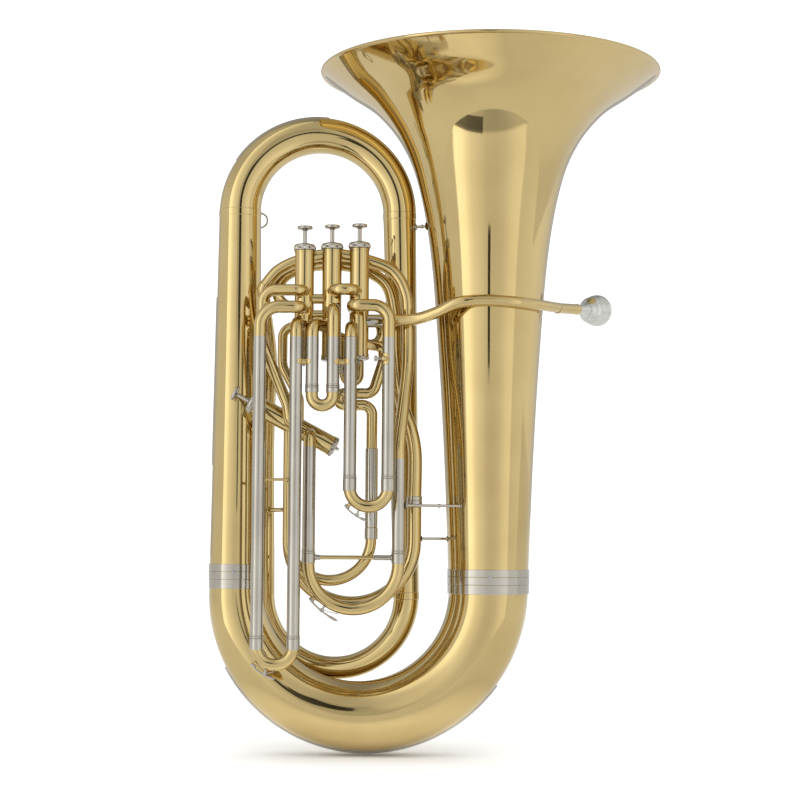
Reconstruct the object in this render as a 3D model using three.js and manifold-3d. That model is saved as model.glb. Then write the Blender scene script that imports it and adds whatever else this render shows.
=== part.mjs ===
// Compensating E flat tuba, British pattern: three top-action valves, a fourth valve at the side.
// Millimetres, +Z up. X runs from the outer branch to the bell, Y from the slides to the back.
// The origin is the lowest point of the bottom bow, in the plane of the bell and the outer branch.

import * as THREE from 'three';
import { mergeVertices } from 'three/addons/utils/BufferGeometryUtils.js';
import Module from 'manifold-3d';

const wasm = await Module();
wasm.setup();

// ---------- driving dimensions ----------

const GAP = 0.3; // clearance between pieces that meet
const WALL = 0.8; // tube wall

const BELL_X = 177; // half the distance between bell and outer branch
const BELL_TOP = 961; // height of the bell's rim
const BELL_RADIUS = 241.3; // 19 inch bell
const BELL_WALL = 0.9;
const RIM_RADIUS = 2.4; // wired edge of the bell

const BOW_RADIUS = 177; // centreline of the bottom bow
const BOW_BELL_END = 55.6; // outer radii of the bottom bow
const BOW_MIDDLE = 49;
const BOW_BRANCH_END = 36.6;
const BOW_Z = BOW_RADIUS + BOW_MIDDLE; // centre of the bottom bow
const BELL_JOINT = 240; // heights of the two joints above the bottom bow
const BRANCH_JOINT = 247;
const FERRULE_WALL = 1;
const GUARD_WIRE = 1.6; // half the thickness of a guard strip
const GUARD_STANDOFF = 2.6; // from a bow's nominal surface to the middle of its strip

const TOP_BOW_Z = 757; // centre of the top bow
const STUB = 2; // straight stretch at each end of a bow
const TOP_BOW_RADIUS = 113.2;
const BRANCH_TOP_RADIUS = 29.4;
const INNER_TOP = { x: 49.3, y: 18, radius: 23.4 };
const INNER_LOW = { x: 62.2, y: 20, radius: 17.9 };
const INNER_BOW_Z = 214.5;
const INNER_LEFT = { x: -139.5, y: 47 };
const SMALL_TUBE = 8.6; // outer radius of the cylindrical tubing

const VALVE_X = { 1: -6, 2: -44, 3: -82 };
const VALVE_Y = -56;
const VALVE_TOP = 706; // top of the second valve's cap, the others a step above and below
const VALVE_STEP = 1.7;
const CASING_RADIUS = 13.5;
const CASING_BORE = 12.6;
const CAP_RADIUS = 15.6;
const CAP_HEIGHT = 9.4;
const TRAVEL = 17; // stroke of a piston
const STEM_RADIUS = 2.9;
const PISTON_WALL = 1.2;
const PISTON_CLEARANCE = 0.15;
const BUTTON_RADIUS = 10.7;
const VALVE_LENGTH = 166;
const NUB_HEIGHT = 4; // drain nub under a bottom cap
const SIDE_VALVE = { x: -157, y: -50, z: 485.6, length: 137, slope: 28.2 };

const SLIDE_Y = -95; // plane of the valve slides
const SLEEVE = { radius: 8.8, bore: 7.8 };
const SLIDE_LEG = 7.35; // outer radius of the inner slide leg
const SLIDE_BORE = 6.3;
const SLIDE_FERRULE = 9.4;
const SLIDE_BOW = 8.5;
const SLIDES = {
  1: { left: -16, right: 35.7, joint: 381, bend: 366, insert: 110, y: SLIDE_Y },
  2: { left: -68.5, right: -40, joint: 504, bend: 491.5, insert: 50, y: SLIDE_Y },
  3: { left: -140, right: -90.5, joint: 164, bend: 151, insert: 130, y: SLIDE_Y },
  main: { left: -72, right: 50.6, joint: 279, bend: 262, insert: 100, y: -72 },
};

// Water keys: degrees round the bow from its right leg to the pad, the hinge and the thumb end.
const KEY_ANGLES = { 1: [138, 113, 94], 3: [138, 110, 90], main: [139, 124, 106] };
const KEY_HEIGHT = 6.2; // lever above its bow
const KEY_LIFT = 4; // how much further the thumb end stands off

const ARCH_Y = -32; // plane of the main arch over the valves
const REAR_Y = -14; // plane of the arch behind it
const REAR_JOINT = 350; // where the rear bow meets that arch
const REAR_BOW = { x: 86.5, centre: -14, z: 293, y: -26, radius: 10 };
const RETURN_BOW = { radius: 57, centre: -44, z: 296, y: -50, tube: 7.6 };

const PIPE_ANGLE = 57; // the receiver turns this far away from the bell's plane
const PIPE_TILT = 4;
const BRACE_ANGLE = 46; // how far round the bell's front the lower brace lands
const RECEIVER = { x: 276.7, y: -8, z: 622.7, length: 61.5, radius: 9 };
const PIPE_RADIUS = 8.2;
const PIPE_AROUND = 88; // leadpipe's distance from the bell's axis
const MOUTHPIECE_RIM = 22.8;

// sides of the round sections
const BELL_SIDES = 28;
const BELL_STEPS = 11; // stretches along the bell's profile
const LARGE_SIDES = 18;
const MEDIUM_SIDES = 14;
const SLEEVE_SIDES = 12;
const SMALL_SIDES = 8;
const CAP_SIDES = 14;

// ---------- materials ----------

const metal = (color, roughness) => new THREE.MeshStandardMaterial({ color, roughness, metalness: 1 });
const lacquer = () => metal(0xd9a441, 0.18);
const nickel = () => metal(0xc9c6bd, 0.22);
const silver = () => metal(0xe4e4e2, 0.12);
const steel = () => metal(0x9a9ca0, 0.35);

// ---------- solids ----------

const vec = (x, y, z) => new THREE.Vector3(x, y, z);

// Joins shared corners, drops empty triangles and turns the faces outwards.
function closed(geometry) {
  geometry.deleteAttribute('normal');
  geometry.deleteAttribute('uv');
  const merged = mergeVertices(geometry, 1e-3);
  const position = merged.attributes.position;
  const index = merged.index.array;
  const corners = [vec(0, 0, 0), vec(0, 0, 0), vec(0, 0, 0)];
  let kept = [];
  let volume = 0;
  for (let i = 0; i < index.length; i += 3) {
    const [a, b, c] = index.slice(i, i + 3);
    if (a === b || b === c || c === a) continue;
    [a, b, c].forEach((at, k) => corners[k].fromBufferAttribute(position, at));
    volume += corners[0].dot(corners[1].clone().cross(corners[2]));
    kept.push(a, b, c);
  }
  if (volume < 0) kept = kept.reverse();
  merged.setIndex(kept);
  return merged;
}

function toManifold(geometry) {
  const solid = closed(geometry);
  return new wasm.Manifold(new wasm.Mesh({
    numProp: 3,
    vertProperties: new Float32Array(solid.attributes.position.array),
    triVerts: new Uint32Array(solid.index.array),
  }));
}

function fromManifold(manifold) {
  const mesh = manifold.getMesh();
  const geometry = new THREE.BufferGeometry();
  geometry.setAttribute('position', new THREE.Float32BufferAttribute(mesh.vertProperties, 3));
  geometry.setIndex(Array.from(mesh.triVerts));
  return geometry;
}

function join(first, ...others) {
  return fromManifold(others.reduce((all, one) => all.add(toManifold(one)), toManifold(first)));
}

function cut(first, ...others) {
  return fromManifold(others.reduce((all, one) => all.subtract(toManifold(one)), toManifold(first)));
}

// A cylinder from one point to another.
function rod(from, to, radius, sides = 12) {
  const along = to.clone().sub(from);
  const geometry = new THREE.CylinderGeometry(radius, radius, along.length(), sides);
  const turn = new THREE.Quaternion().setFromUnitVectors(vec(0, 1, 0), along.clone().normalize());
  geometry.applyQuaternion(turn);
  geometry.translate(...from.clone().lerp(to, 0.5).toArray());
  return geometry;
}

// A solid of revolution about +Z; the profile is [radius, height] pairs.
function turned(profile, sides) {
  const geometry = new THREE.LatheGeometry(profile.map(([r, z]) => new THREE.Vector2(r, z)), sides);
  return closed(geometry.rotateX(Math.PI / 2));
}

// A polyline with each inner corner rounded to a bend radius.
function route(corners, bend, stepDegrees = 36) {
  const points = [corners[0]];
  for (let i = 1; i < corners.length - 1; i += 1) {
    const back = corners[i - 1].clone().sub(corners[i]).normalize();
    const ahead = corners[i + 1].clone().sub(corners[i]).normalize();
    const turn = Math.PI - back.angleTo(ahead);
    const radius = Array.isArray(bend) ? bend[i - 1] : bend;
    const reach = radius * Math.tan(turn / 2);
    const centre = corners[i].clone().addScaledVector(
      back.clone().add(ahead).normalize(), radius / Math.cos(turn / 2));
    const start = corners[i].clone().addScaledVector(back, reach).sub(centre);
    const axis = ahead.clone().cross(back).normalize();
    const steps = Math.max(2, Math.ceil(THREE.MathUtils.radToDeg(turn) / stepDegrees));
    for (let k = 0; k <= steps; k += 1) {
      points.push(start.clone().applyAxisAngle(axis, (turn * k) / steps).add(centre));
    }
  }
  points.push(corners.at(-1));
  return points;
}

// Half a turn of a bow, from the right leg down and round to the left leg.
function halfTurn(centre, radius, steps, leftY = centre.y) {
  const points = [];
  for (let k = 0; k <= steps; k += 1) {
    const angle = (Math.PI * k) / steps;
    const y = THREE.MathUtils.lerp(centre.y, leftY, (1 - Math.cos(angle)) / 2);
    points.push(vec(centre.x + radius * Math.cos(angle), y, centre.z - radius * Math.sin(angle)));
  }
  return points;
}

// Sweeps round sections along points. radii gives the outer radius at each point;
// bores gives the inner radius, or is left out for a solid bar.
function sweep(points, radii, bores, sides = SMALL_SIDES) {
  const radiusAt = (list, i) => (Array.isArray(list) ? list[i] : list);
  const tangents = points.map((p, i) => {
    const before = points[Math.max(i - 1, 0)];
    const after = points[Math.min(i + 1, points.length - 1)];
    const into = p.clone().sub(before).normalize();
    const out = after.clone().sub(p).normalize();
    return into.add(out).normalize();
  });
  let normal = Math.abs(tangents[0].y) < 0.9 ? vec(0, 1, 0) : vec(1, 0, 0);
  const vertices = [];
  const ring = (centre, tangent, radius) => {
    const side = normal.clone();
    const other = tangent.clone().cross(normal);
    for (let k = 0; k < sides; k += 1) {
      const angle = (2 * Math.PI * (k + 0.5)) / sides;
      vertices.push(...centre.clone().addScaledVector(side, radius * Math.cos(angle))
        .addScaledVector(other, radius * Math.sin(angle)).toArray());
    }
  };
  points.forEach((point, i) => {
    normal = normal.addScaledVector(tangents[i], -normal.dot(tangents[i])).normalize();
    ring(point, tangents[i], radiusAt(radii, i));
    if (bores !== undefined) ring(point, tangents[i], radiusAt(bores, i));
  });
  const rings = bores === undefined ? 1 : 2;
  const at = (i, layer, k) => (i * rings + layer) * sides + (k % sides);
  const index = [];
  const quad = (a, b, c, d) => index.push(a, b, c, a, c, d);
  for (let i = 0; i < points.length - 1; i += 1) {
    for (let k = 0; k < sides; k += 1) {
      quad(at(i, 0, k), at(i, 0, k + 1), at(i + 1, 0, k + 1), at(i + 1, 0, k));
      if (rings === 2) quad(at(i, 1, k + 1), at(i, 1, k), at(i + 1, 1, k), at(i + 1, 1, k + 1));
    }
  }
  const last = points.length - 1;
  for (let k = 0; k < sides; k += 1) {
    if (rings === 2) {
      quad(at(0, 0, k + 1), at(0, 0, k), at(0, 1, k), at(0, 1, k + 1));
      quad(at(last, 0, k), at(last, 0, k + 1), at(last, 1, k + 1), at(last, 1, k));
    } else if (k > 0 && k < sides - 1) {
      index.push(at(0, 0, 0), at(0, 0, k + 1), at(0, 0, k));
      index.push(at(last, 0, 0), at(last, 0, k), at(last, 0, k + 1));
    }
  }
  const geometry = new THREE.BufferGeometry();
  geometry.setAttribute('position', new THREE.Float32BufferAttribute(vertices, 3));
  geometry.setIndex(index);
  return closed(geometry);
}

// A hollow tube whose outer radius runs evenly from one end to the other.
function taperedTube(points, first, last, sides = SMALL_SIDES, wall = WALL) {
  const lengths = [0];
  for (let i = 1; i < points.length; i += 1) {
    lengths.push(lengths[i - 1] + points[i].distanceTo(points[i - 1]));
  }
  const radii = lengths.map((s) => THREE.MathUtils.lerp(first, last, s / lengths.at(-1)));
  return sweep(points, radii, radii.map((r) => r - wall), sides);
}

const smooth = (points, count) => new THREE.CatmullRomCurve3(points, false, 'centripetal').getPoints(count);

// ---------- assembly ----------

const tuba = new THREE.Group();

function piece(name, geometry, material, parent = tuba) {
  geometry.computeVertexNormals();
  const mesh = new THREE.Mesh(geometry, material);
  mesh.name = name;
  parent.add(mesh);
  return mesh;
}

// ---------- bell, bows and branches ----------

// Outer radius of the bell against height, throat to rim.
const BELL_PROFILE = new THREE.SplineCurve([
  [BOW_BELL_END + 0.1, BELL_JOINT + GAP], [62.1, 400], [70.8, 550], [83.3, 700], [101.8, 800],
  [126.9, 860], [163.7, 905], [205.9, 935], [BELL_RADIUS - RIM_RADIUS, BELL_TOP - RIM_RADIUS],
].map(([r, z]) => new THREE.Vector2(r, z)));

function makeBell() {
  const outside = BELL_PROFILE.getPoints(BELL_STEPS).map((p) => [p.x, p.y]);
  const inside = outside.map(([r, z]) => [r - BELL_WALL, z + (z > 850 ? BELL_WALL * 0.6 : 0)]).reverse();
  const rim = [
    [BELL_RADIUS - 0.6, BELL_TOP - 2 * RIM_RADIUS], [BELL_RADIUS, BELL_TOP - RIM_RADIUS],
    [BELL_RADIUS - 0.6, BELL_TOP], [BELL_RADIUS - 3.6, BELL_TOP],
  ];
  const profile = [...outside.slice(0, -1), ...rim, ...inside.slice(1)];
  const bell = turned([...profile, profile[0]], BELL_SIDES);
  piece('bell', bell.translate(BELL_X, 0, 0), lacquer());
}

function makeFerrule(name, x, low, high, radius) {
  const bore = radius / Math.cos(Math.PI / 24) + GAP;
  const outer = bore + FERRULE_WALL;
  const ring = turned([[bore, low], [outer, low], [outer, high], [bore, high], [bore, low]], 24);
  piece(name, ring.translate(x, 0, 0), nickel());
}

// Outer radius of the bottom bow at an angle from the bell end, 0, to the branch end, pi.
function bowRadius(angle) {
  const t = angle / Math.PI;
  const bellHalf = THREE.MathUtils.lerp(BOW_BELL_END, BOW_MIDDLE, 2 * t);
  const branchHalf = THREE.MathUtils.lerp(BOW_MIDDLE, BOW_BRANCH_END, 2 * t - 1);
  return t < 0.5 ? bellHalf : branchHalf;
}

function makeBottomBow() {
  const steps = 12;
  const points = halfTurn(vec(0, 0, BOW_Z), BOW_RADIUS, steps);
  const radii = points.map((p, k) => bowRadius((Math.PI * k) / steps));
  points.unshift(vec(BELL_X, 0, BELL_JOINT));
  radii.unshift(BOW_BELL_END);
  points.push(vec(-BELL_X, 0, BRANCH_JOINT - GAP));
  radii.push(BOW_BRANCH_END);
  piece('bottom_bow', sweep(points, radii, radii.map((r) => r - WALL), LARGE_SIDES), lacquer());
}

// A half-oval strip that protects the outside of a bow, from one angle to another.
function guardStrip(centre, bowCentre, radiusAt, from, to, steps) {
  const points = [];
  for (let k = 0; k <= steps; k += 1) {
    const angle = THREE.MathUtils.lerp(from, to, k / steps);
    const reach = bowCentre + radiusAt(angle) + GUARD_STANDOFF;
    points.push(vec(centre.x + reach * Math.cos(angle), centre.y, centre.z + reach * Math.sin(angle)));
  }
  return sweep(points, GUARD_WIRE, undefined, 6);
}

function makeBottomGuard() {
  const from = THREE.MathUtils.degToRad(-35);
  const to = THREE.MathUtils.degToRad(-150);
  const strip = guardStrip(vec(0, 0, BOW_Z), BOW_RADIUS, (a) => bowRadius(-a), from, to, 16);
  piece('bottom_bow_guard', strip, nickel());
}

function makeOuterBranch() {
  const tube = taperedTube(
    [vec(-BELL_X, 0, BRANCH_JOINT), vec(-BELL_X, 0, TOP_BOW_Z - STUB - GAP)],
    BOW_BRANCH_END, BRANCH_TOP_RADIUS, LARGE_SIDES);
  piece('outer_branch', tube, lacquer());
}

function topBowRadius(angle) {
  return THREE.MathUtils.lerp(INNER_TOP.radius, BRANCH_TOP_RADIUS, angle / Math.PI) - 0.9 * Math.sin(angle);
}

const TOP_BOW_CENTRE = vec((INNER_TOP.x - BELL_X) / 2, 0, TOP_BOW_Z);

function makeTopBow() {
  const steps = 12;
  const points = [];
  for (let k = 0; k <= steps; k += 1) {
    const angle = (Math.PI * k) / steps;
    points.push(vec(
      TOP_BOW_CENTRE.x + TOP_BOW_RADIUS * Math.cos(angle),
      (INNER_TOP.y * (1 + Math.cos(angle))) / 2,
      TOP_BOW_CENTRE.z + TOP_BOW_RADIUS * Math.sin(angle)));
  }
  const radii = points.map((p, k) => topBowRadius((Math.PI * k) / steps));
  points.unshift(points[0].clone().add(vec(0, 0, -STUB)));
  points.push(points.at(-1).clone().add(vec(0, 0, -STUB)));
  radii.unshift(radii[0]);
  radii.push(radii.at(-1));
  piece('top_bow', sweep(points, radii, radii.map((r) => r - WALL), MEDIUM_SIDES), lacquer());
}

function makeTopGuard() {
  const from = THREE.MathUtils.degToRad(85);
  const to = THREE.MathUtils.degToRad(148);
  const centre = TOP_BOW_CENTRE.clone().setY(1.5);
  piece('top_bow_guard', guardStrip(centre, TOP_BOW_RADIUS, topBowRadius, from, to, 8), nickel());
}

const LEAN_GAP = 0.9; // the inner branch leans, so its square ends need more room

function makeInnerBranch() {
  const tube = taperedTube(
    [vec(INNER_TOP.x, INNER_TOP.y, TOP_BOW_Z - STUB - LEAN_GAP),
      vec(INNER_LOW.x, INNER_LOW.y, INNER_BOW_Z + STUB + LEAN_GAP)],
    INNER_TOP.radius, INNER_LOW.radius, MEDIUM_SIDES);
  piece('inner_branch', tube, lacquer());
}

// Where the main arch comes down to meet the inner bow's left leg, and its direction there.
const ARCH_LEFT = vec(-140, ARCH_Y, 645);
const ARCH_SLOPE = vec(0.35, 0, 0.94).normalize();

// The inner bow carries on up its left leg to the left end of the main arch.
function makeInnerBow() {
  const centre = vec((INNER_LOW.x + INNER_LEFT.x) / 2, INNER_LOW.y, INNER_BOW_Z);
  const points = halfTurn(centre, (INNER_LOW.x - INNER_LEFT.x) / 2, 10, INNER_LEFT.y);
  points.unshift(vec(INNER_LOW.x, INNER_LOW.y, INNER_BOW_Z + STUB));
  const leg = smooth([
    points.at(-1), vec(INNER_LEFT.x, INNER_LEFT.y, 300), vec(INNER_LEFT.x, INNER_LEFT.y, 430),
    vec(-137, 36, 490), vec(-133, 10, 550), vec(-138, ARCH_Y + 8, 610),
    ARCH_LEFT.clone().addScaledVector(ARCH_SLOPE, -STUB),
  ], 8).slice(1);
  leg.push(ARCH_LEFT);
  piece('inner_bow', taperedTube([...points, ...leg], INNER_LOW.radius, SMALL_TUBE, 12), lacquer());
}

// ---------- tubing over and behind the valves ----------

const SIDE_SLOPE = THREE.MathUtils.degToRad(SIDE_VALVE.slope);

// Height of the side valve's axis at x; tubes that end on that valve run to this point.
const sideValveZ = (x) => SIDE_VALVE.z - (x - SIDE_VALVE.x) * Math.tan(SIDE_SLOPE);

// Main arch: from the right sleeve of the main slide, over the valves, to the inner bow.
function makeMainArch() {
  const slide = SLIDES.main;
  const over = smooth([
    vec(slide.right, slide.y, 425), vec(56, -56, 478), vec(61.6, ARCH_Y - 3, 535),
    vec(61.6, ARCH_Y, 600), vec(58, ARCH_Y, 640), vec(40, ARCH_Y, 670), vec(-2, ARCH_Y, 687),
    vec(-44, ARCH_Y, 693), vec(-86, ARCH_Y, 686), vec(-120, ARCH_Y, 670),
    ARCH_LEFT.clone().addScaledVector(ARCH_SLOPE, STUB + GAP),
  ], 16);
  const end = ARCH_LEFT.clone().addScaledVector(ARCH_SLOPE, GAP);
  const points = [vec(slide.right, slide.y, slide.joint + GAP), ...over, end];
  const radii = points.map((p) => (p.z < 430 ? SLEEVE.radius : SMALL_TUBE));
  piece('main_arch', sweep(points, radii, SLEEVE.bore, SLEEVE_SIDES), lacquer());
}

// Fourth-valve bow, behind the main slide, and the arch that carries it back to the third valve.
function makeRearBow() {
  const { x, centre, z, y, radius } = REAR_BOW;
  const bow = halfTurn(vec(centre, y, z), x, 8);
  const top = sideValveZ(centre - x + 3);
  const inlet = route([
    vec(centre - x, y, z), vec(centre - x, y, top), vec(centre - x + 3, SIDE_VALVE.y, top),
  ], 10.5).slice(1);
  const tube = taperedTube([vec(centre + x, y, REAR_JOINT), ...bow, ...inlet], radius, radius);
  piece('rear_bow', cut(tube, sideCasingTool()), lacquer());
}

function makeRearArch() {
  const points = smooth([
    vec(REAR_BOW.centre + REAR_BOW.x, REAR_BOW.y, REAR_JOINT + GAP),
    vec(REAR_BOW.centre + REAR_BOW.x, REAR_BOW.y, 420), vec(66.5, -25, 450), vec(57, -21, 476),
    vec(50, -17, 510), vec(44, REAR_Y, 560), vec(42, REAR_Y, 617), vec(30, REAR_Y, 655),
    vec(-6, REAR_Y, 676), vec(-46, REAR_Y, 681), vec(-84, REAR_Y, 677), vec(-112, REAR_Y - 1, 663),
    vec(-122, -24, 641), vec(-110, -38, 622), vec(VALVE_X[3], VALVE_Y, 616),
  ], 22);
  const tube = taperedTube(points, REAR_BOW.radius, 7.4);
  piece('rear_arch', cut(tube, casingTool(3)), lacquer());
}

// Compensating return: first valve, two short runs behind the slides, a bow, and the fourth valve.
function makeReturnTube() {
  const { radius, centre, z, y, tube } = RETURN_BOW;
  const right = centre + radius;
  const down = route([
    vec(VALVE_X[1], VALVE_Y, 566), vec(28, y, 562), vec(29, y, 545), vec(14, y, 497),
    vec(-34, y, 497), vec(-34, y, 481), vec(right, y, 481), vec(right, y, z),
  ], [9, 30, 14, 8, 8, 14]).slice(0, -1);
  const bow = halfTurn(vec(centre, y, z), radius, 7);
  const points = [...down, ...bow, vec(centre - radius, y, sideValveZ(centre - radius))];
  const geometry = sweep(points, tube, tube - WALL);
  piece('compensating_return', cut(geometry, casingTool(1), sideCasingTool()), lacquer());
}

// Compensating tube of the third valve, behind the slides.
function makeThirdCompensator() {
  const points = route([
    vec(VALVE_X[3], VALVE_Y + 8, 590), vec(-112, -44, 590), vec(-112, -44, 535), vec(-88, -50, 490),
    vec(-88, SIDE_VALVE.y, sideValveZ(-88)),
  ], [16, 30, 20]);
  const tube = sweep(points, 6.8, 6.8 - WALL);
  piece('compensating_tube_3', cut(tube, casingTool(3), sideCasingTool()), lacquer());
}

// ---------- valves ----------

const valveTop = (number) => VALVE_TOP + (2 - number) * VALVE_STEP;

// The space of a valve casing, a little oversize, for tubes that end against it.
function casingTool(number) {
  const top = vec(VALVE_X[number], VALVE_Y, valveTop(number) - 5);
  const bottom = vec(VALVE_X[number], VALVE_Y, valveTop(number) - VALVE_LENGTH - 2);
  return rod(bottom, top, CASING_RADIUS + GAP, 24);
}

const SIDE_TURN = SIDE_SLOPE - Math.PI / 2; // tips a vertical valve over to the left

function sideCasingTool() {
  const top = vec(SIDE_VALVE.x, SIDE_VALVE.y, SIDE_VALVE.z);
  const down = vec(Math.cos(SIDE_SLOPE), 0, -Math.sin(SIDE_SLOPE));
  return rod(top.clone().addScaledVector(down, SIDE_VALVE.length), top, CASING_RADIUS + GAP, 24);
}

// Everything below is drawn with the valve's axis on Z and the top of its cap at 0.
function makeTopCap() {
  const hole = STEM_RADIUS + 0.4;
  return turned([
    [hole, -CAP_HEIGHT], [CAP_RADIUS, -CAP_HEIGHT], [CAP_RADIUS, -3.4], [CAP_RADIUS - 2.4, -0.9],
    [9, 0], [hole, 0], [hole, -CAP_HEIGHT],
  ], CAP_SIDES);
}

function makeBottomCap(length) {
  const low = -length;
  return turned([
    [0, low - NUB_HEIGHT], [2.2, low - NUB_HEIGHT], [2.2, low], [8, low],
    [CASING_RADIUS + 0.7, low + 1.5], [CASING_RADIUS + 0.7, low + 6],
    [CASING_BORE - 0.8, low + 6], [CASING_BORE - 0.8, low + 9], [0, low + 9],
  ], CAP_SIDES);
}

function makeCasing(length) {
  const low = -length + 6 + GAP;
  const high = -CAP_HEIGHT - GAP;
  return turned([
    [CASING_BORE, low], [CASING_RADIUS, low], [CASING_RADIUS, high], [CASING_BORE, high], [CASING_BORE, low],
  ], CAP_SIDES);
}

const PISTON_TOP = -13;

const pistonBottom = (length) => -length + 9 + 2.6 * TRAVEL;

// A hollow piston with a vent in its floor, and the stem and finger button above it.
function makePiston(length) {
  const radius = CASING_BORE * Math.cos(Math.PI / CAP_SIDES) - PISTON_CLEARANCE;
  const inside = radius - PISTON_WALL;
  const low = pistonBottom(length);
  return turned([
    [0, PISTON_TOP - 3], [inside, PISTON_TOP - 3], [inside, low + 1.5], [3, low + 1.5], [3, low],
    [radius, low], [radius, PISTON_TOP], [STEM_RADIUS, PISTON_TOP], [STEM_RADIUS, TRAVEL + 1.5],
    [4.2, TRAVEL + 2.5], [BUTTON_RADIUS - 1, TRAVEL + 4.4], [BUTTON_RADIUS, TRAVEL + 5.6],
    [BUTTON_RADIUS - 0.8, TRAVEL + 8], [0, TRAVEL + 8],
  ], CAP_SIDES);
}

function makeSpring(length) {
  const wire = 0.7;
  const low = -length + 9 + wire + GAP;
  const high = pistonBottom(length) - wire - GAP;
  const turns = 4;
  const perTurn = 7;
  const points = [];
  for (let k = 0; k <= turns * perTurn; k += 1) {
    const angle = (2 * Math.PI * k) / perTurn;
    const z = THREE.MathUtils.lerp(low, high, k / (turns * perTurn));
    points.push(vec(9 * Math.cos(angle), 9 * Math.sin(angle), z));
  }
  return sweep(points, wire, undefined, 4);
}

function makeValve(number, length, parent) {
  piece(`valve_${number}_casing`, makeCasing(length), lacquer(), parent);
  piece(`valve_${number}_top_cap`, makeTopCap(), nickel(), parent);
  piece(`valve_${number}_bottom_cap`, makeBottomCap(length), nickel(), parent);
  piece(`valve_${number}_piston`, makePiston(length), nickel(), parent);
  piece(`valve_${number}_spring`, makeSpring(length), steel(), parent);
}

function makeValves() {
  for (const number of [1, 2, 3]) {
    const valve = new THREE.Group();
    valve.position.set(VALVE_X[number], VALVE_Y, valveTop(number));
    tuba.add(valve);
    makeValve(number, VALVE_LENGTH, valve);
  }
  const side = new THREE.Group();
  side.position.set(SIDE_VALVE.x, SIDE_VALVE.y, SIDE_VALVE.z);
  side.rotation.y = SIDE_TURN;
  tuba.add(side);
  makeValve(4, SIDE_VALVE.length, side);
}

// ---------- links between valves ----------

function makeLinks() {
  const crookX = { 2: VALVE_X[2] + 4, 1: VALVE_X[1] - 6 };
  const crook = sweep(route([
    vec(crookX[2], VALVE_Y, 638), vec(crookX[2], VALVE_Y - 28, 638),
    vec(crookX[1], VALVE_Y - 28, 638), vec(crookX[1], VALVE_Y, 638),
  ], 12), 8.2, 8.2 - WALL);
  piece('crook_2_to_1', cut(crook, casingTool(2), casingTool(1)), lacquer());

  const knuckle = sweep([vec(VALVE_X[3], VALVE_Y, 627.5), vec(VALVE_X[2], VALVE_Y, 627.5)], 7, 5.8);
  piece('knuckle_3_to_2', cut(knuckle, casingTool(3), casingTool(2)), lacquer());

  const end = vec(-99, SIDE_VALVE.y, sideValveZ(-99));
  const link = sweep(route([
    vec(VALVE_X[3] - 1, VALVE_Y, 637), vec(VALVE_X[3] - 1, -82, 637), vec(-138, -76, 637),
    vec(-139, -75, 565), vec(-103, -75, 480), vec(end.x, -76, end.z), end,
  ], [10, 18, 40, 20, 10]), 8, 8 - WALL);
  piece('link_3_to_4', cut(link, casingTool(3), sideCasingTool()), lacquer());
}

// ---------- slides ----------

// The fixed side of a slide: a branch from the valve, and the sleeve that the slide leg runs in.
function makeSleeve(name, corners, bend, slide, tools) {
  const end = corners.at(-1);
  const points = route([...corners, vec(end.x, end.y, slide.joint + GAP)], bend);
  const tube = sweep(points, SLEEVE.radius, SLEEVE.bore, SLEEVE_SIDES);
  piece(name, cut(tube, ...tools), nickel());
}

function makeSleeves() {
  const y = SLIDE_Y;
  const [one, two, three, main] = [SLIDES[1], SLIDES[2], SLIDES[3], SLIDES.main];
  makeSleeve('slide_1_left_sleeve',
    [vec(one.left + 1, VALVE_Y, 586), vec(one.left, y, 586)], [15], one, [casingTool(1)]);
  makeSleeve('slide_1_right_sleeve', [
    vec(VALVE_X[1] - 8, VALVE_Y, 615), vec(VALVE_X[1] - 8, y, 615), vec(one.right, y, 615),
  ], [11, 22], one, [casingTool(1)]);
  makeSleeve('slide_2_left_sleeve',
    [vec(VALVE_X[2] - 4, VALVE_Y, 589), vec(two.left, y, 589)], [14], two, [casingTool(2)]);
  makeSleeve('slide_2_right_sleeve',
    [vec(two.right - 2, VALVE_Y, 611), vec(two.right, y, 611)], [15], two, [casingTool(2)]);
  makeSleeve('slide_3_right_sleeve',
    [vec(three.right + 4, VALVE_Y, 592), vec(three.right, y, 592)], [15], three, [casingTool(3)]);
  makeSleeve('slide_3_left_sleeve', [
    vec(VALVE_X[3] - 3, VALVE_Y, 612), vec(VALVE_X[3] - 3, y, 612), vec(three.left, y, 612),
  ], [11, 26], three, [casingTool(3)]);
  const top = sideValveZ(main.left);
  makeSleeve('main_slide_left_sleeve',
    [vec(main.left, SIDE_VALVE.y, top), vec(main.left, main.y, top)], [11], main, [sideCasingTool()]);
}

// The moving U: thin legs inside the sleeves, ferrules below the joint, then the bow.
function slideShape(slide) {
  const { left, right, joint, bend, insert, y } = slide;
  const radius = (right - left) / 2;
  const bow = halfTurn(vec((left + right) / 2, y, bend), radius, radius > 40 ? 10 : 6);
  const leg = (x) => [joint + insert, joint, joint - 0.01, bend + 0.8].map((z) => vec(x, y, z));
  const points = [...leg(right), ...bow, ...leg(left).reverse()];
  const legRadii = [SLIDE_LEG, SLIDE_LEG, SLIDE_FERRULE, SLIDE_FERRULE];
  const radii = [...legRadii, ...bow.map(() => SLIDE_BOW), ...legRadii.toReversed()];
  return sweep(points, radii, SLIDE_BORE, SLEEVE_SIDES);
}

// Place on the outside of a slide's bow, at an angle measured down from the right leg.
function bowPoint(slide, degrees, reach) {
  const angle = THREE.MathUtils.degToRad(degrees);
  const radius = (slide.right - slide.left) / 2 + reach;
  const x = (slide.left + slide.right) / 2 + radius * Math.cos(angle);
  return vec(x, slide.y, slide.bend - radius * Math.sin(angle));
}

function nipple(slide, pad) {
  return rod(bowPoint(slide, pad, SLIDE_BOW - 1.9), bowPoint(slide, pad, SLIDE_BOW + 2), 2.6, 8);
}

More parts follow.
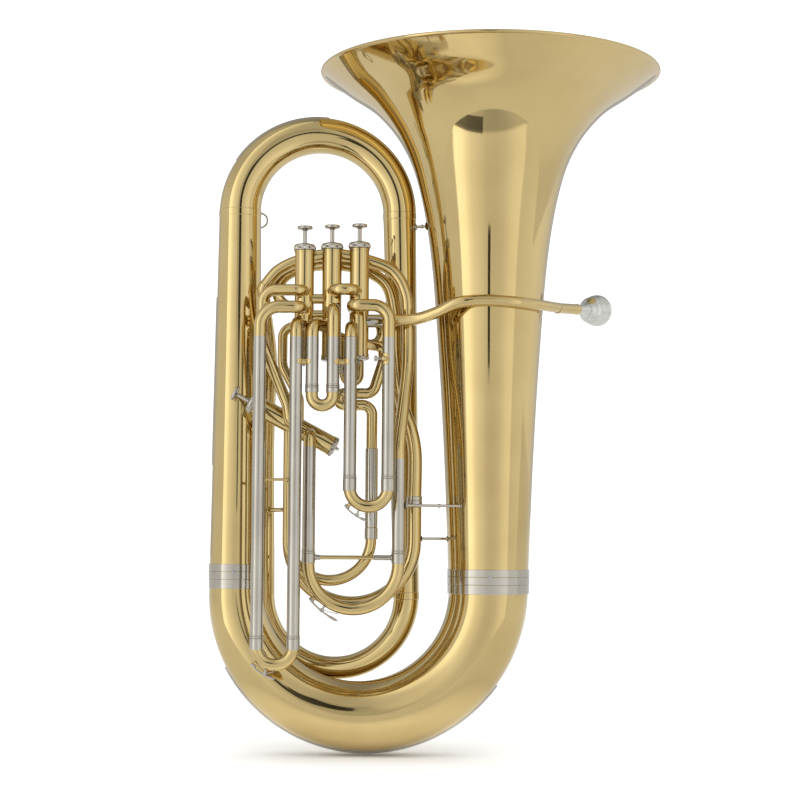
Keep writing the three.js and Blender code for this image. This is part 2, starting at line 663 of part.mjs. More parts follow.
// Sprung lever that opens the drain hole at the bottom of a slide.
function waterKey(slide, pad, pivot, thumb) {
  const lever = [];
  for (let k = 0; k <= 6; k += 1) {
    const reach = SLIDE_BOW + KEY_HEIGHT + KEY_LIFT * (k / 6) ** 2;
    lever.push(bowPoint(slide, THREE.MathUtils.lerp(pad, thumb, k / 6), reach));
  }
  const bar = sweep(lever, 1.3, undefined, 6);
  const cup = rod(
    bowPoint(slide, pad, SLIDE_BOW + 2 + GAP), bowPoint(slide, pad, SLIDE_BOW + KEY_HEIGHT), 3.9, 10);
  const hinge = bowPoint(slide, pivot, SLIDE_BOW + KEY_HEIGHT);
  const across = vec(0, 4.5, 0);
  return join(bar, cup, rod(hinge.clone().sub(across), hinge.clone().add(across), 2, 8));
}

function makeSlides() {
  for (const name of ['1', '2', '3', 'main']) {
    const slide = SLIDES[name];
    const label = name === 'main' ? 'main_slide' : `slide_${name}`;
    let shape = slideShape(slide);
    const angles = KEY_ANGLES[name];
    if (angles) shape = join(shape, nipple(slide, angles[0]));
    if (name === 'main') {
      const z = slide.joint - 8;
      shape = join(shape, rod(vec(slide.left + 7, slide.y, z), vec(slide.right - 7, slide.y, z), 3, 10));
    }
    piece(label, shape, lacquer());
    if (angles) piece(`${label}_water_key`, waterKey(slide, ...angles), nickel());
  }
}

// ---------- leadpipe, receiver and mouthpiece ----------

function pipeDirection() {
  const angle = THREE.MathUtils.degToRad(PIPE_ANGLE);
  const tilt = THREE.MathUtils.degToRad(PIPE_TILT);
  return vec(Math.cos(angle) * Math.cos(tilt), Math.sin(angle) * Math.cos(tilt), Math.sin(tilt));
}

const RECEIVER_START = vec(RECEIVER.x, RECEIVER.y, RECEIVER.z);

function makeLeadpipe() {
  const around = (degrees, z) => {
    const angle = THREE.MathUtils.degToRad(degrees);
    return vec(BELL_X + PIPE_AROUND * Math.sin(angle), -PIPE_AROUND * Math.cos(angle), z);
  };
  const end = RECEIVER_START.clone().addScaledVector(pipeDirection(), -2 * GAP);
  const points = smooth([
    vec(VALVE_X[1] + 4, VALVE_Y, 597), vec(40, VALVE_Y, 598), vec(70, -60, 599.5), vec(98, -72, 607),
    vec(130, -86, 620.5), around(-8, 624), around(20, 622.5), around(40, 621.5), around(54, 621.5), end,
  ], 16);
  piece('leadpipe', cut(taperedTube(points, PIPE_RADIUS + 0.3, PIPE_RADIUS - 1), casingTool(1)), lacquer());
}

function placeAlongPipe(mesh) {
  mesh.quaternion.setFromUnitVectors(vec(0, 0, 1), pipeDirection());
  mesh.position.copy(RECEIVER_START);
}

const SHANK_DEPTH = 34; // how far the mouthpiece goes into the receiver

function makeReceiver() {
  const { length, radius } = RECEIVER;
  const shape = turned([
    [5.4, 0], [radius + 0.4, 0], [radius + 0.4, 2.5], [radius - 1.2, 3.5], [radius - 0.6, length - 5],
    [radius, length - 4], [radius, length], [7.4, length], [6.6, length - SHANK_DEPTH - 1], [5.4, 0],
  ], 12);
  placeAlongPipe(piece('receiver', shape, lacquer()));
}

function makeMouthpiece() {
  const start = RECEIVER.length - SHANK_DEPTH;
  const shape = turned([
    [4.4, 0], [5.9, 0], [6.6, SHANK_DEPTH], [7.4, 46], [8.6, 52], [14, 58], [19.4, 68], [21, 80],
    [MOUTHPIECE_RIM, 85], [MOUTHPIECE_RIM, 89], [21.4, 91], [18.6, 91], [16.6, 89], [15.6, 78],
    [12, 68], [4.4, 57], [3.9, 50], [4.4, 0],
  ].map(([r, z]) => [r, z + start]), 16);
  placeAlongPipe(piece('mouthpiece', shape, silver()));
}

// ---------- braces, strap ring ----------

// A cross brace: a thin rod with a round flange at each end.
function brace(from, to, radius, flange) {
  const along = to.clone().sub(from).normalize().multiplyScalar(3);
  return join(rod(from, to, radius, 8), rod(from, from.clone().add(along), flange, 12),
    rod(to.clone().sub(along), to, flange, 12));
}

function makeBraces() {
  const upper = 739.6;
  const lower = 342.5;
  const bellRadius = (z) => BELL_PROFILE.getPoints(80).find((p) => p.y > z).x;
  const innerAt = (z) => THREE.MathUtils.mapLinear(z, INNER_BOW_Z, TOP_BOW_Z, INNER_LOW.x, INNER_TOP.x);
  const innerRadius = (z) => THREE.MathUtils.mapLinear(
    z, INNER_BOW_Z, TOP_BOW_Z, INNER_LOW.radius, INNER_TOP.radius);
  const bellOutside = BELL_PROFILE.getPoints(BELL_STEPS).map((p) => [p.x + GAP, p.y]);
  const bellTool = turned([[0, BELL_JOINT], ...bellOutside, [0, BELL_TOP]], BELL_SIDES);
  bellTool.translate(BELL_X, 0, 0);
  const x = innerAt(upper);
  const low = vec(x, INNER_TOP.y + 1, upper - 20);
  const branchTool = rod(low, low.clone().add(vec(0, 0, 40)), innerRadius(upper) + 1.1, 24);
  const upperStart = vec(x + innerRadius(upper) - 1.5, 12, upper);
  const upperShape = brace(upperStart, vec(BELL_X - bellRadius(upper) + 1.2, 4, upper), 2, 6);
  piece('bell_brace_upper', cut(upperShape, branchTool, bellTool), nickel());

  const main = SLIDES.main;
  const lowerStart = vec(main.right + SLEEVE.radius + 4 * GAP, main.y, lower);
  const towards = THREE.MathUtils.degToRad(BRACE_ANGLE);
  const reach = bellRadius(lower) - 1.2;
  const lowerEnd = vec(BELL_X - reach * Math.cos(towards), -reach * Math.sin(towards), lower);
  piece('bell_brace_lower', cut(brace(lowerStart, lowerEnd, 2, 5), bellTool), nickel());

  const slide = SLIDES[3];
  const clear = SLEEVE.radius + GAP;
  const bar = brace(vec(slide.left + clear, SLIDE_Y, 376), vec(slide.right - clear, SLIDE_Y, 376), 2, 4);
  piece('slide_3_brace', bar, lacquer());
}

const RING = { x: -151, y: 31, z: 751, radius: 10.4, wire: 1.3 };

function makeStrapRing() {
  const ring = new THREE.TorusGeometry(RING.radius, RING.wire, 6, 16);
  piece('strap_ring', closed(ring.rotateX(Math.PI / 2)).translate(RING.x, RING.y, RING.z), nickel());
  const eye = new THREE.TorusGeometry(3.2, 1.1, 6, 10);
  const top = RING.z + RING.radius;
  const loop = closed(eye.rotateY(Math.PI / 2)).translate(RING.x, RING.y, top);
  const post = rod(vec(RING.x - 6, 17, top + 0.5), vec(RING.x, RING.y - 3.4, top + 0.5), 1.6, 8);
  const branch = rod(vec(-BELL_X, 0, 700), vec(-BELL_X, 0, 820), BRANCH_TOP_RADIUS + 1, 24);
  piece('strap_eye', cut(join(loop, post), branch), nickel());
}

makeBell();
makeFerrule('bell_ferrule', BELL_X, 221, 255, BOW_BELL_END + 0.8);
makeBottomBow();
makeBottomGuard();
makeFerrule('branch_ferrule', -BELL_X, 226, 260, BOW_BRANCH_END);
makeOuterBranch();
makeTopBow();
makeTopGuard();
makeInnerBranch();
makeInnerBow();
makeMainArch();
makeRearBow();
makeRearArch();
makeReturnTube();
makeThirdCompensator();
makeValves();
makeLinks();
makeSleeves();
makeSlides();
makeLeadpipe();
makeReceiver();
makeMouthpiece();
makeBraces();
makeStrapRing();

export default tuba;
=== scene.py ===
"""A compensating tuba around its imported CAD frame: fine tubing, ferrules, valves, slides and metal finishes.

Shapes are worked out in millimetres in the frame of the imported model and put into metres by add_piece.
"""

import math

import bpy
import bmesh
from mathutils import Matrix, Quaternion, Vector


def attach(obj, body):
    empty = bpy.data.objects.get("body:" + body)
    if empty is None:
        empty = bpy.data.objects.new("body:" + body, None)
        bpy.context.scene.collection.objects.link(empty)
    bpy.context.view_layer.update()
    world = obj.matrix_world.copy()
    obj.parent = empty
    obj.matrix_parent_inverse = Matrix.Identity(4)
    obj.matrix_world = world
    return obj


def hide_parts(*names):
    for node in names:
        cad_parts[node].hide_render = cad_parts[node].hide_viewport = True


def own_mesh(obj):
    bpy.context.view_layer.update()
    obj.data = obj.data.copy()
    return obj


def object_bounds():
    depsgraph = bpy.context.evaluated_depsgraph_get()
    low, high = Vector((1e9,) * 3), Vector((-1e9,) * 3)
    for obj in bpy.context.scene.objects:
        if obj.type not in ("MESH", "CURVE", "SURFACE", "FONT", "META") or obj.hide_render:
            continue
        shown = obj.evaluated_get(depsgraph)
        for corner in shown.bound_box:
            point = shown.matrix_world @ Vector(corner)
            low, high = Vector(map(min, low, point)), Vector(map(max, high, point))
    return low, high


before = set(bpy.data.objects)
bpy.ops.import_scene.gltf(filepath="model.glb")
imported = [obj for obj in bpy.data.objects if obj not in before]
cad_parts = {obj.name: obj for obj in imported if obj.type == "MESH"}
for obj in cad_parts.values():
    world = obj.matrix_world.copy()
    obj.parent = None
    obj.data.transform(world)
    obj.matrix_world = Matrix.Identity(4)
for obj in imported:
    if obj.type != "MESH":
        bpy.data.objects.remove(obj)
cad_box = [list(corner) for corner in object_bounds()]

MM = 0.001

# ---------- driving dimensions, in millimetres ----------

WALL = 0.8
BELL_X = 177  # the bell's axis; the outer branch stands as far to the left
BELL_TOP = 961
BELL_RADIUS = 241.3
BELL_WALL = 0.9
RIM_RADIUS = 2.4
BELL_JOINT = 240  # heights at which the bottom bow meets the bell and the outer branch
BRANCH_JOINT = 247

BOW_RADIUS = 177
BOW_BELL_END = 55.6  # the bottom bow's outer radius at its ends and in the middle
BOW_MIDDLE = 49
BOW_BRANCH_END = 36.6
BOW_Z = BOW_RADIUS + BOW_MIDDLE

TOP_BOW_Z = 757
TOP_BOW_RADIUS = 113.2
BRANCH_TOP_RADIUS = 29.4
INNER_TOP = {"x": 49.3, "y": 18, "radius": 23.4}
INNER_LOW = {"x": 62.2, "y": 20, "radius": 17.9}
INNER_BOW_Z = 214.5
INNER_LEFT = {"x": -139.5, "y": 47}  # the inner bow's left leg
SMALL_TUBE = 8.6

VALVE_X = {1: -6, 2: -44, 3: -82}
VALVE_Y = -56
VALVE_TOP = {1: 707.7, 2: 706, 3: 704.3}
VALVE_LENGTH = 166
CASING_RADIUS = 13.5
CASING_BORE = 12.6
CAP_RADIUS = 15.6
CAP_HEIGHT = 9.4
NUB_HEIGHT = 4
TRAVEL = 17
STEM_RADIUS = 2.9
BUTTON_RADIUS = 10.7
PISTON_RADIUS = 12.1
PISTON_TOP = -13  # at rest, from the top of the cap
SPRING_FLOOR = 9  # height of the bottom cap's inner face above the valve's lower end
SIDE_VALVE = {"x": -157, "y": -50, "z": 485.6, "length": 137, "slope": math.radians(28.2)}

SLIDE_Y = -95
SLIDE_LEG = 7.35  # outer radii of a slide's legs, ferrules and bow, and the bore they share
SLIDE_BORE = 6.3
SLIDE_FERRULE = 9.3
SLIDE_BOW = 8.5
SLEEVE = {"radius": 8.8, "bore": 7.8}
BRANCH_END = 571  # height at which each slide's gold branch meets its nickel sleeve
MAIN_SLEEVE_TOPS = {"left": 422, "right": 406}  # the same for the main slide's two sleeves
SLIDES = {  # left and right legs, then the heights of the joint, the ferrule's lower end and the bow's centre
    "slide_1": {"left": -16, "right": 35.7, "joint": 381, "cuff": 361, "bend": 366, "insert": 110,
                "y": SLIDE_Y},
    "slide_2": {"left": -68.5, "right": -40, "joint": 504, "cuff": 494.8, "bend": 491.5, "insert": 50,
                "y": SLIDE_Y},
    "slide_3": {"left": -140, "right": -90.5, "joint": 164, "cuff": 146.5, "bend": 151, "insert": 130,
                "y": SLIDE_Y},
    "main_slide": {"left": -72, "right": 50.6, "joint": 279, "cuff": 262.8, "bend": 262, "insert": 100,
                   "y": -72},
}
KEY_ANGLES = {  # a water key's pad, hinge and thumb plate round the bow, in degrees from the right leg
    "slide_1": (138, 113, 94), "slide_3": (138, 110, 90), "main_slide": (139, 124, 106),
}
KEY_HEIGHT = 6.2  # of the lever above the bow
KEY_LIFT = 4  # extra height at the thumb plate
BRACE_ANGLE = math.radians(46)

ARCH_Y = -32
REAR_Y = -14
REAR_JOINT = 350  # height at which the rear bow meets the rear arch
REAR_BOW = {"x": 86.5, "centre": -14, "z": 293, "y": -26, "radius": 10}
RETURN_BOW = {"radius": 57, "centre": -44, "z": 296, "y": -50, "tube": 7.6}

PIPE_ANGLE = math.radians(57)
PIPE_TILT = math.radians(4)
RECEIVER = {"x": 276.7, "y": -8, "z": 622.7, "length": 61.5, "radius": 7.9}
PIPE_RADIUS = 8.2
PIPE_AROUND = 88  # distance of the leadpipe from the bell's axis
SHANK_DEPTH = 34
RECEIVER_LAP = 9  # how far the receiver's tube reaches back over the leadpipe
RING = {"x": -151, "y": 31, "z": 751, "radius": 10.4, "wire": 1.3}

BELL_SIDES = 160
LARGE_SIDES = 72
TUBE_SIDES = 36
SMALL_SIDES = 24
ARC_STEP = math.radians(5)
SMOOTH_STEPS = 12  # samples in each stretch of a smooth route


# ---------- routes ----------

def vec(x, y, z):
    return Vector((x, y, z))


UP = vec(0, 0, 1)


def mix(a, b, t):
    return a + (b - a) * t


def curve(a, b, leave, arrive, u):
    """A point on the cubic from a to b with the slopes leave and arrive."""
    return (a + leave * u + (b * 3 - a * 3 - leave * 2 - arrive) * u ** 2
            + (a * 2 - b * 2 + leave + arrive) * u ** 3)


def route(corners, bend):
    """Straight runs between corners, each inner corner rounded to a bend radius."""
    points = [corners[0]]
    for i in range(1, len(corners) - 1):
        back = (corners[i - 1] - corners[i]).normalized()
        ahead = (corners[i + 1] - corners[i]).normalized()
        turn = math.pi - back.angle(ahead)
        radius = bend[i - 1] if isinstance(bend, list) else bend
        centre = corners[i] + (back + ahead).normalized() * (radius / math.cos(turn / 2))
        start = corners[i] + back * (radius * math.tan(turn / 2)) - centre
        axis = ahead.cross(back).normalized()
        steps = max(3, math.ceil(turn / ARC_STEP))
        for k in range(steps + 1):
            points.append(Quaternion(axis, turn * k / steps) @ start + centre)
    points.append(corners[-1])
    return points


def half_turn(centre, radius, left_y=None, steps=40):
    """Half a turn of a bow, from the right leg down and round to the left leg."""
    left_y = centre.y if left_y is None else left_y
    points = []
    for k in range(steps + 1):
        angle = math.pi * k / steps
        y = mix(centre.y, left_y, (1 - math.cos(angle)) / 2)
        points.append(vec(centre.x + radius * math.cos(angle), y, centre.z - radius * math.sin(angle)))
    return points


def smooth(points):
    """A centripetal Catmull-Rom curve through the points."""
    ends = [points[0] * 2 - points[1]] + points + [points[-1] * 2 - points[-2]]
    out = []
    for i in range(1, len(ends) - 2):
        p0, p1, p2, p3 = ends[i - 1:i + 3]
        d0, d1, d2 = (math.sqrt((b - a).length) for a, b in ((p0, p1), (p1, p2), (p2, p3)))
        t1 = ((p1 - p0) / d0 - (p2 - p0) / (d0 + d1) + (p2 - p1) / d1) * d1
        t2 = ((p2 - p1) / d1 - (p3 - p1) / (d1 + d2) + (p3 - p2) / d2) * d1
        out += [curve(p1, p2, t1, t2, k / SMOOTH_STEPS) for k in range(SMOOTH_STEPS)]
    out.append(points[-1])
    return out


def tapering(points, first, last):
    """Radii that change evenly along the points from first to last."""
    lengths = [0.0]
    for before, after in zip(points, points[1:]):
        lengths.append(lengths[-1] + (after - before).length)
    return [mix(first, last, s / lengths[-1]) for s in lengths]


# ---------- valves as axes that tubes end against ----------

SIDE_WAY = vec(math.cos(SIDE_VALVE["slope"]), 0, -math.sin(SIDE_VALVE["slope"]))


def valve_axis(number):
    """The top of a valve's cap and the direction down its axis."""
    if number == 4:
        return vec(SIDE_VALVE["x"], SIDE_VALVE["y"], SIDE_VALVE["z"]), SIDE_WAY
    return vec(VALVE_X[number], VALVE_Y, VALVE_TOP[number]), vec(0, 0, -1)


def off_axis(point, number):
    """The vector from a valve's axis to the point."""
    origin, down = valve_axis(number)
    away = point - origin
    return away - down * away.dot(down)


def side_valve_z(x):
    """Height of the side valve's axis at x."""
    return SIDE_VALVE["z"] - (x - SIDE_VALVE["x"]) * math.tan(SIDE_VALVE["slope"])


def valve_length(number):
    return SIDE_VALVE["length"] if number == 4 else VALVE_LENGTH


SEAT = CASING_RADIUS - 0.35  # tube ends sit this far from the axis, just inside the casing's wall
STOP = 10.2  # routes end this far from the axis


def stop_short(points, number):
    """Ends a route that runs to a valve's axis a little outside the valve's bore."""
    backwards = off_axis(points[0], number).length < off_axis(points[-1], number).length
    points = list(reversed(points)) if backwards else list(points)
    while off_axis(points[-2], number).length < STOP:
        points.pop()
    near, far = off_axis(points[-1], number).length, off_axis(points[-2], number).length
    if near < STOP:
        points[-1] = mix(points[-2], points[-1], (far - STOP) / (far - near))
    return list(reversed(points)) if backwards else points


# ---------- solids ----------

class Shape:
    """The points and faces of one or more closed solids."""

    def __init__(self):
        self.points = []
        self.faces = []

    def add(self, points, faces):
        start = len(self.points)
        self.points += points
        self.faces += [[start + i for i in face] for face in faces]
        return self


def sweep(points, radii, bores=None, sides=TUBE_SIDES):
    """A round bar along points, or a tube where bores are given."""
    per_point = (lambda value, i: value[i] if isinstance(value, list) else value)
    normal = vec(0, 1, 0)
    last = len(points) - 1
    verts = []
    for i, point in enumerate(points):
        ahead = (points[min(i + 1, last)] - point).normalized()
        behind = (point - points[max(i - 1, 0)]).normalized()
        tangent = (ahead + behind).normalized()
        if i == 0 and abs(tangent.y) > 0.9:
            normal = vec(1, 0, 0)
        normal = (normal - tangent * normal.dot(tangent)).normalized()
        other = tangent.cross(normal)
        for values in ([radii] if bores is None else [radii, bores]):
            radius = per_point(values, i)
            for k in range(sides):
                angle = 2 * math.pi * k / sides
                verts.append(point + (normal * math.cos(angle) + other * math.sin(angle)) * radius)
    layers = 1 if bores is None else 2

    def at(i, layer, k):
        return (i * layers + layer) * sides + k % sides

    faces = []
    for i in range(last):
        for k in range(sides):
            faces.append([at(i, 0, k), at(i, 0, k + 1), at(i + 1, 0, k + 1), at(i + 1, 0, k)])
            if layers == 2:
                faces.append([at(i, 1, k + 1), at(i, 1, k), at(i + 1, 1, k), at(i + 1, 1, k + 1)])
    for i in (0, last):
        if layers == 1:
            faces.append([at(i, 0, k) for k in range(sides)])
            continue
        for k in range(sides):
            faces.append([at(i, 0, k), at(i, 0, k + 1), at(i, 1, k + 1), at(i, 1, k)])
    return Shape().add(verts, faces)


def walled(points, radii, sides=TUBE_SIDES):
    """A tube with the usual wall, from its outer radius at each point."""
    return sweep(points, radii, [radius - WALL for radius in radii], sides)


def tapered(points, first, last, sides=TUBE_SIDES):
    return walled(points, tapering(points, first, last), sides)


def lathe(profile, origin, direction, sides=SMALL_SIDES, ripple=None):
    """A solid turned about an axis: profile is (radius, height) pairs, from axis to axis or a closed loop.

    ripple is (count, depth, radius): points at or beyond that radius are knurled.
    """
    turn = UP.rotation_difference(direction)
    loop = profile[0][0] > 0
    verts, rings = [], []
    for radius, height in profile:
        if radius == 0:
            rings.append([len(verts)])
            verts.append(origin + turn @ vec(0, 0, height))
            continue
        rings.append(range(len(verts), len(verts) + sides))
        for k in range(sides):
            angle = 2 * math.pi * k / sides
            reach = radius
            if ripple and radius >= ripple[2]:
                reach += ripple[1] * math.cos(ripple[0] * angle)
            verts.append(origin + turn @ vec(reach * math.cos(angle), reach * math.sin(angle), height))
    pairs = list(zip(rings, rings[1:]))
    if loop:
        pairs.append((rings[-1], rings[0]))
    faces = []
    for low, high in pairs:
        for k in range(sides):
            after = (k + 1) % sides
            if len(low) == 1:
                faces.append([low[0], high[after], high[k]])
            elif len(high) == 1:
                faces.append([low[k], low[after], high[0]])
            else:
                faces.append([low[k], low[after], high[after], high[k]])
    return Shape().add(verts, faces)


def bar(start, end, radius):
    """A straight bar with softened edges."""
    length, edge = (end - start).length, 0.4
    profile = [(0, 0), (radius - edge, 0), (radius, edge), (radius, length - edge), (radius - edge, length),
               (0, length)]
    return lathe(profile, start, (end - start).normalized())


def band(origin, direction, inner, outer, length, sides=TUBE_SIDES, edge=0.5):
    """A ring with softened outer edges, from origin along direction."""
    profile = [(inner, 0), (outer - edge, 0), (outer, edge), (outer, length - edge), (outer - edge, length),
               (inner, length)]
    return lathe(profile, origin, direction, sides)


def torus(centre, axis, radius, wire, sides=48, section=14):
    profile = []
    for k in range(section):
        angle = 2 * math.pi * k / section
        profile.append((radius + wire * math.cos(angle), wire * math.sin(angle)))
    return lathe(profile, centre, axis, sides)


def joined(*shapes):
    whole = Shape()
    for shape in shapes:
        whole.add(shape.points, shape.faces)
    return whole


def seated(shape, *valves):
    """The shape with its points pushed out of the valves' bores, so that it ends on the casing's wall."""
    for number in valves:
        top, down = valve_axis(number)
        for i, point in enumerate(shape.points):
            away = off_axis(point, number)
            if 0 < (point - top).dot(down) < valve_length(number) and 1e-6 < away.length < SEAT:
                shape.points[i] = point + away.normalized() * (SEAT - away.length)
    return shape


def add_piece(name, shape, material, body="root", crease=35):
    """Makes the piece, and shows it instead of the CAD node that has its name."""
    mesh = bpy.data.meshes.new(name)
    mesh.from_pydata([tuple(point * MM) for point in shape.points], [], shape.faces)
    edit = bmesh.new()
    edit.from_mesh(mesh)
    bmesh.ops.remove_doubles(edit, verts=edit.verts, dist=1e-6)
    bmesh.ops.recalc_face_normals(edit, faces=edit.faces)
    edit.to_mesh(mesh)
    edit.free()
    mesh.polygons.foreach_set("use_smooth", [True] * len(mesh.polygons))
    mesh.set_sharp_from_angle(angle=math.radians(crease))
    mesh.materials.append(material)
    piece = bpy.data.objects.new(name, mesh)
    bpy.context.scene.collection.objects.link(piece)
    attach(piece, body)
    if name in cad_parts:
        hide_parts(name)
    return piece


# ---------- materials ----------

class Tree:
    """A shader's nodes, with short ways to add and link them."""

    def __init__(self, owner):
        owner.use_nodes = True
        self.nodes, self.links = owner.node_tree.nodes, owner.node_tree.links

    def add(self, kind, **inputs):
        return self.set(self.nodes.new("ShaderNode" + kind), **inputs)

    def set(self, node, **inputs):
        """Gives inputs, named with _ for each space, a value or another node's output."""
        for name, value in inputs.items():
            socket = node.inputs[name.replace("_", " ")]
            if isinstance(value, bpy.types.NodeSocket):
                self.links.new(value, socket)
            else:
                socket.default_value = value
        return node

    def math(self, operation, a, b=None):
        node = self.add("Math")
        node.operation = operation
        for socket, value in zip(node.inputs, (a, b)):
            if isinstance(value, (int, float)):
                socket.default_value = value
            elif value is not None:
                self.links.new(value, socket)
        return node.outputs["Value"]

    def noise(self, scale, detail, stretch=(1, 1, 1)):
        """Noise over the object's own coordinates, stretched along its axes."""
        mapping = self.add("Mapping", Scale=stretch, Vector=self.add("TexCoord").outputs["Object"])
        texture = self.add("TexNoise", Scale=scale, Detail=detail, Vector=mapping.outputs["Vector"])
        return texture.outputs["Fac"]

    def spread(self, value, low, high):
        """Maps the middle of a noise onto low to high."""
        node = self.add("MapRange", From_Min=0.3, From_Max=0.7, To_Min=low, To_Max=high, Value=value)
        return node.outputs["Result"]

    def tinted(self, value, dark, light):
        """Maps a value onto colours from dark to light."""
        ramp = self.add("ValToRGB", Fac=value)
        for element, position, tone in zip(ramp.color_ramp.elements, (0.32, 0.68), (dark, light)):
            element.position = position
            element.color = (*tone, 1)
        return ramp.outputs["Color"]

    def bump(self, height, strength, distance, **more):
        node = self.add("Bump", Strength=strength, Distance=distance, Height=height, **more)
        return node.outputs["Normal"]


def surface(name, **inputs):
    """A new material with its shader's inputs set, and its node tree."""
    material = bpy.data.materials.new(name)
    tree = Tree(material)
    tree.set(tree.nodes["Principled BSDF"], **inputs)
    return material, tree


def metal(name, dark, light, rough, coat=0.0, grain=(1, 1, 1)):
    """Polished metal: two near tones in patches, uneven gloss, slight waves and a fine polishing grain."""
    material, tree = surface(name, Metallic=1, Coat_Weight=coat, Coat_Roughness=0.03)
    waves = tree.bump(tree.noise(9, 1), 0.02, 0.01)
    tree.set(tree.nodes["Principled BSDF"], Base_Color=tree.tinted(tree.noise(14, 4), dark, light),
             Roughness=tree.spread(tree.noise(60, 5, grain), *rough),
             Normal=tree.bump(tree.noise(500, 3, grain), 0.015, 0.0004, Normal=waves))
    return material


def dull(name, dark, light, roughness, scale, strength):
    """Cork and the like: rough, flecked and uneven."""
    material, tree = surface(name, Roughness=roughness)
    fleck = tree.noise(scale, 6)
    tree.set(tree.nodes["Principled BSDF"], Base_Color=tree.tinted(fleck, dark, light),
             Normal=tree.bump(fleck, strength, 0.0005))
    return material


LACQUER = metal("gold_lacquer", (0.59, 0.444, 0.192), (0.64, 0.494, 0.222), (0.03, 0.07), coat=0.3)
NICKEL = metal("nickel_silver", (0.45, 0.42, 0.36), (0.54, 0.51, 0.445), (0.05, 0.13), grain=(6, 6, 0.4))
SILVER = metal("silver_plate", (0.60, 0.60, 0.56), (0.68, 0.68, 0.64), (0.04, 0.09))
STEEL = metal("spring_wire", (0.42, 0.43, 0.45), (0.56, 0.57, 0.60), (0.18, 0.32))
CORK = dull("cork", (0.30, 0.17, 0.08), (0.52, 0.34, 0.18), 0.85, 700, 0.6)


def gold(name, shape, body="root", crease=35):
    return add_piece(name, shape, LACQUER, body, crease)


def nickel(name, shape, body="root"):
    return add_piece(name, shape, NICKEL, body)


def steel(name, shape, body="root"):
    return add_piece(name, shape, STEEL, body)


def valve_tube(name, points, first, last, *valves):
    """A gold tube with its ends stopped at the walls of the valves they run to."""
    for number in valves:
        points = stop_short(points, number)
    gold(name, seated(tapered(points, first, last), *valves))


# ---------- bell ----------

def bell_outline():
    """Outer radius and height of the bell, throat to rim, on a Catmull-Rom curve."""
    p = [Vector(q) for q in (
        (BOW_BELL_END + 0.1, BELL_JOINT + 0.3), (62.1, 400), (70.8, 550), (83.3, 700), (101.8, 800),
        (126.9, 860), (163.7, 905), (205.9, 935), (BELL_RADIUS - RIM_RADIUS, BELL_TOP - RIM_RADIUS))]
    last, steps = len(p) - 1, 160
    outline = []
    for k in range(steps + 1):
        i = min(int(last * k / steps), last - 1)
        u = last * k / steps - i
        a, b, c, d = p[max(i - 1, 0)], p[i], p[i + 1], p[min(i + 2, last)]
        outline.append(curve(b, c, (c - a) / 2, (d - b) / 2, u))
    return outline


def make_bell():
    outside = bell_outline()
    inside = []
    for before, here, after in zip(outside, outside[1:], outside[2:]):
        along = (after - before).normalized()
        inside.append(here + Vector((-along.y, along.x)) * BELL_WALL)
    bead = []
    for k in range(13):
        angle = math.radians(mix(-60, 190, k / 12))
        bead.append(Vector((BELL_RADIUS - RIM_RADIUS + RIM_RADIUS * math.cos(angle),
                            BELL_TOP - RIM_RADIUS + RIM_RADIUS * math.sin(angle))))
    throat = Vector((outside[0].x - BELL_WALL, outside[0].y))
    profile = outside[:-2] + bead + list(reversed(inside[:-2])) + [throat]
    shape = lathe([(q.x, q.y) for q in profile], vec(BELL_X, 0, 0), UP, BELL_SIDES)
    gold("bell", shape, crease=60)


def make_ferrule(name, x, low, high, radius):
    """A nickel ferrule in three bands, with a small screw at the front and the back."""
    step = mix(low, high, 0.38)
    seam = mix(low, high, 0.70)
    outer = radius + 1.1
    bands = [(low, outer - 0.35, step - low), (step + 0.25, outer, seam - step - 0.5),
             (seam, outer, high - seam)]
    nickel(name, joined(*[band(vec(x, 0, start), UP, radius - 0.4, reach, height, LARGE_SIDES, 0.35)
                          for start, reach, height in bands]))
    for side, label in ((-1, "front"), (1, "back")):
        head = lathe([(0, 0.9), (0.7, 0.7), (1.5, 0.55), (1.9, 0.1), (1.9, -1), (0, -1)],
                     vec(x, side * outer, seam), vec(0, side, 0))
        steel(f"{name}_screw_{label}", head)


# ---------- bows and branches ----------

def bow_radius(angle):
    """Outer radius of the bottom bow, from the bell end at 0 to the branch end at pi."""
    t = angle / math.pi
    rounding = 2 * (BOW_BELL_END - 2 * BOW_MIDDLE + BOW_BRANCH_END)
    slope = BOW_BRANCH_END - BOW_BELL_END - rounding
    return BOW_BELL_END + slope * t + rounding * t * t


def make_bottom_bow():
    steps = 120
    points = half_turn(vec(0, 0, BOW_Z), BOW_RADIUS, steps=steps)
    radii = [bow_radius(math.pi * k / steps) for k in range(steps + 1)]
    points = [vec(BELL_X, 0, BELL_JOINT)] + points + [vec(-BELL_X, 0, BRANCH_JOINT - 0.3)]
    radii = [BOW_BELL_END] + radii + [BOW_BRANCH_END]
    gold("bottom_bow", walled(points, radii, LARGE_SIDES))


def top_bow_radius(angle):
    return mix(INNER_TOP["radius"], BRANCH_TOP_RADIUS, angle / math.pi) - 0.9 * math.sin(angle)


TOP_BOW_CENTRE = vec((INNER_TOP["x"] - BELL_X) / 2, 0, TOP_BOW_Z)


def top_bow_point(angle):
    return vec(TOP_BOW_CENTRE.x + TOP_BOW_RADIUS * math.cos(angle),
               INNER_TOP["y"] * (1 + math.cos(angle)) / 2,
               TOP_BOW_CENTRE.z + TOP_BOW_RADIUS * math.sin(angle))


def make_top_bow():
    steps = 90
    angles = [math.pi * k / steps for k in range(steps + 1)]
    points = [top_bow_point(angle) for angle in angles]
    radii = [top_bow_radius(angle) for angle in angles]
    points = [points[0] - vec(0, 0, 2)] + points + [points[-1] - vec(0, 0, 2)]
    radii = [radii[0]] + radii + [radii[-1]]
    gold("top_bow", walled(points, radii, LARGE_SIDES))


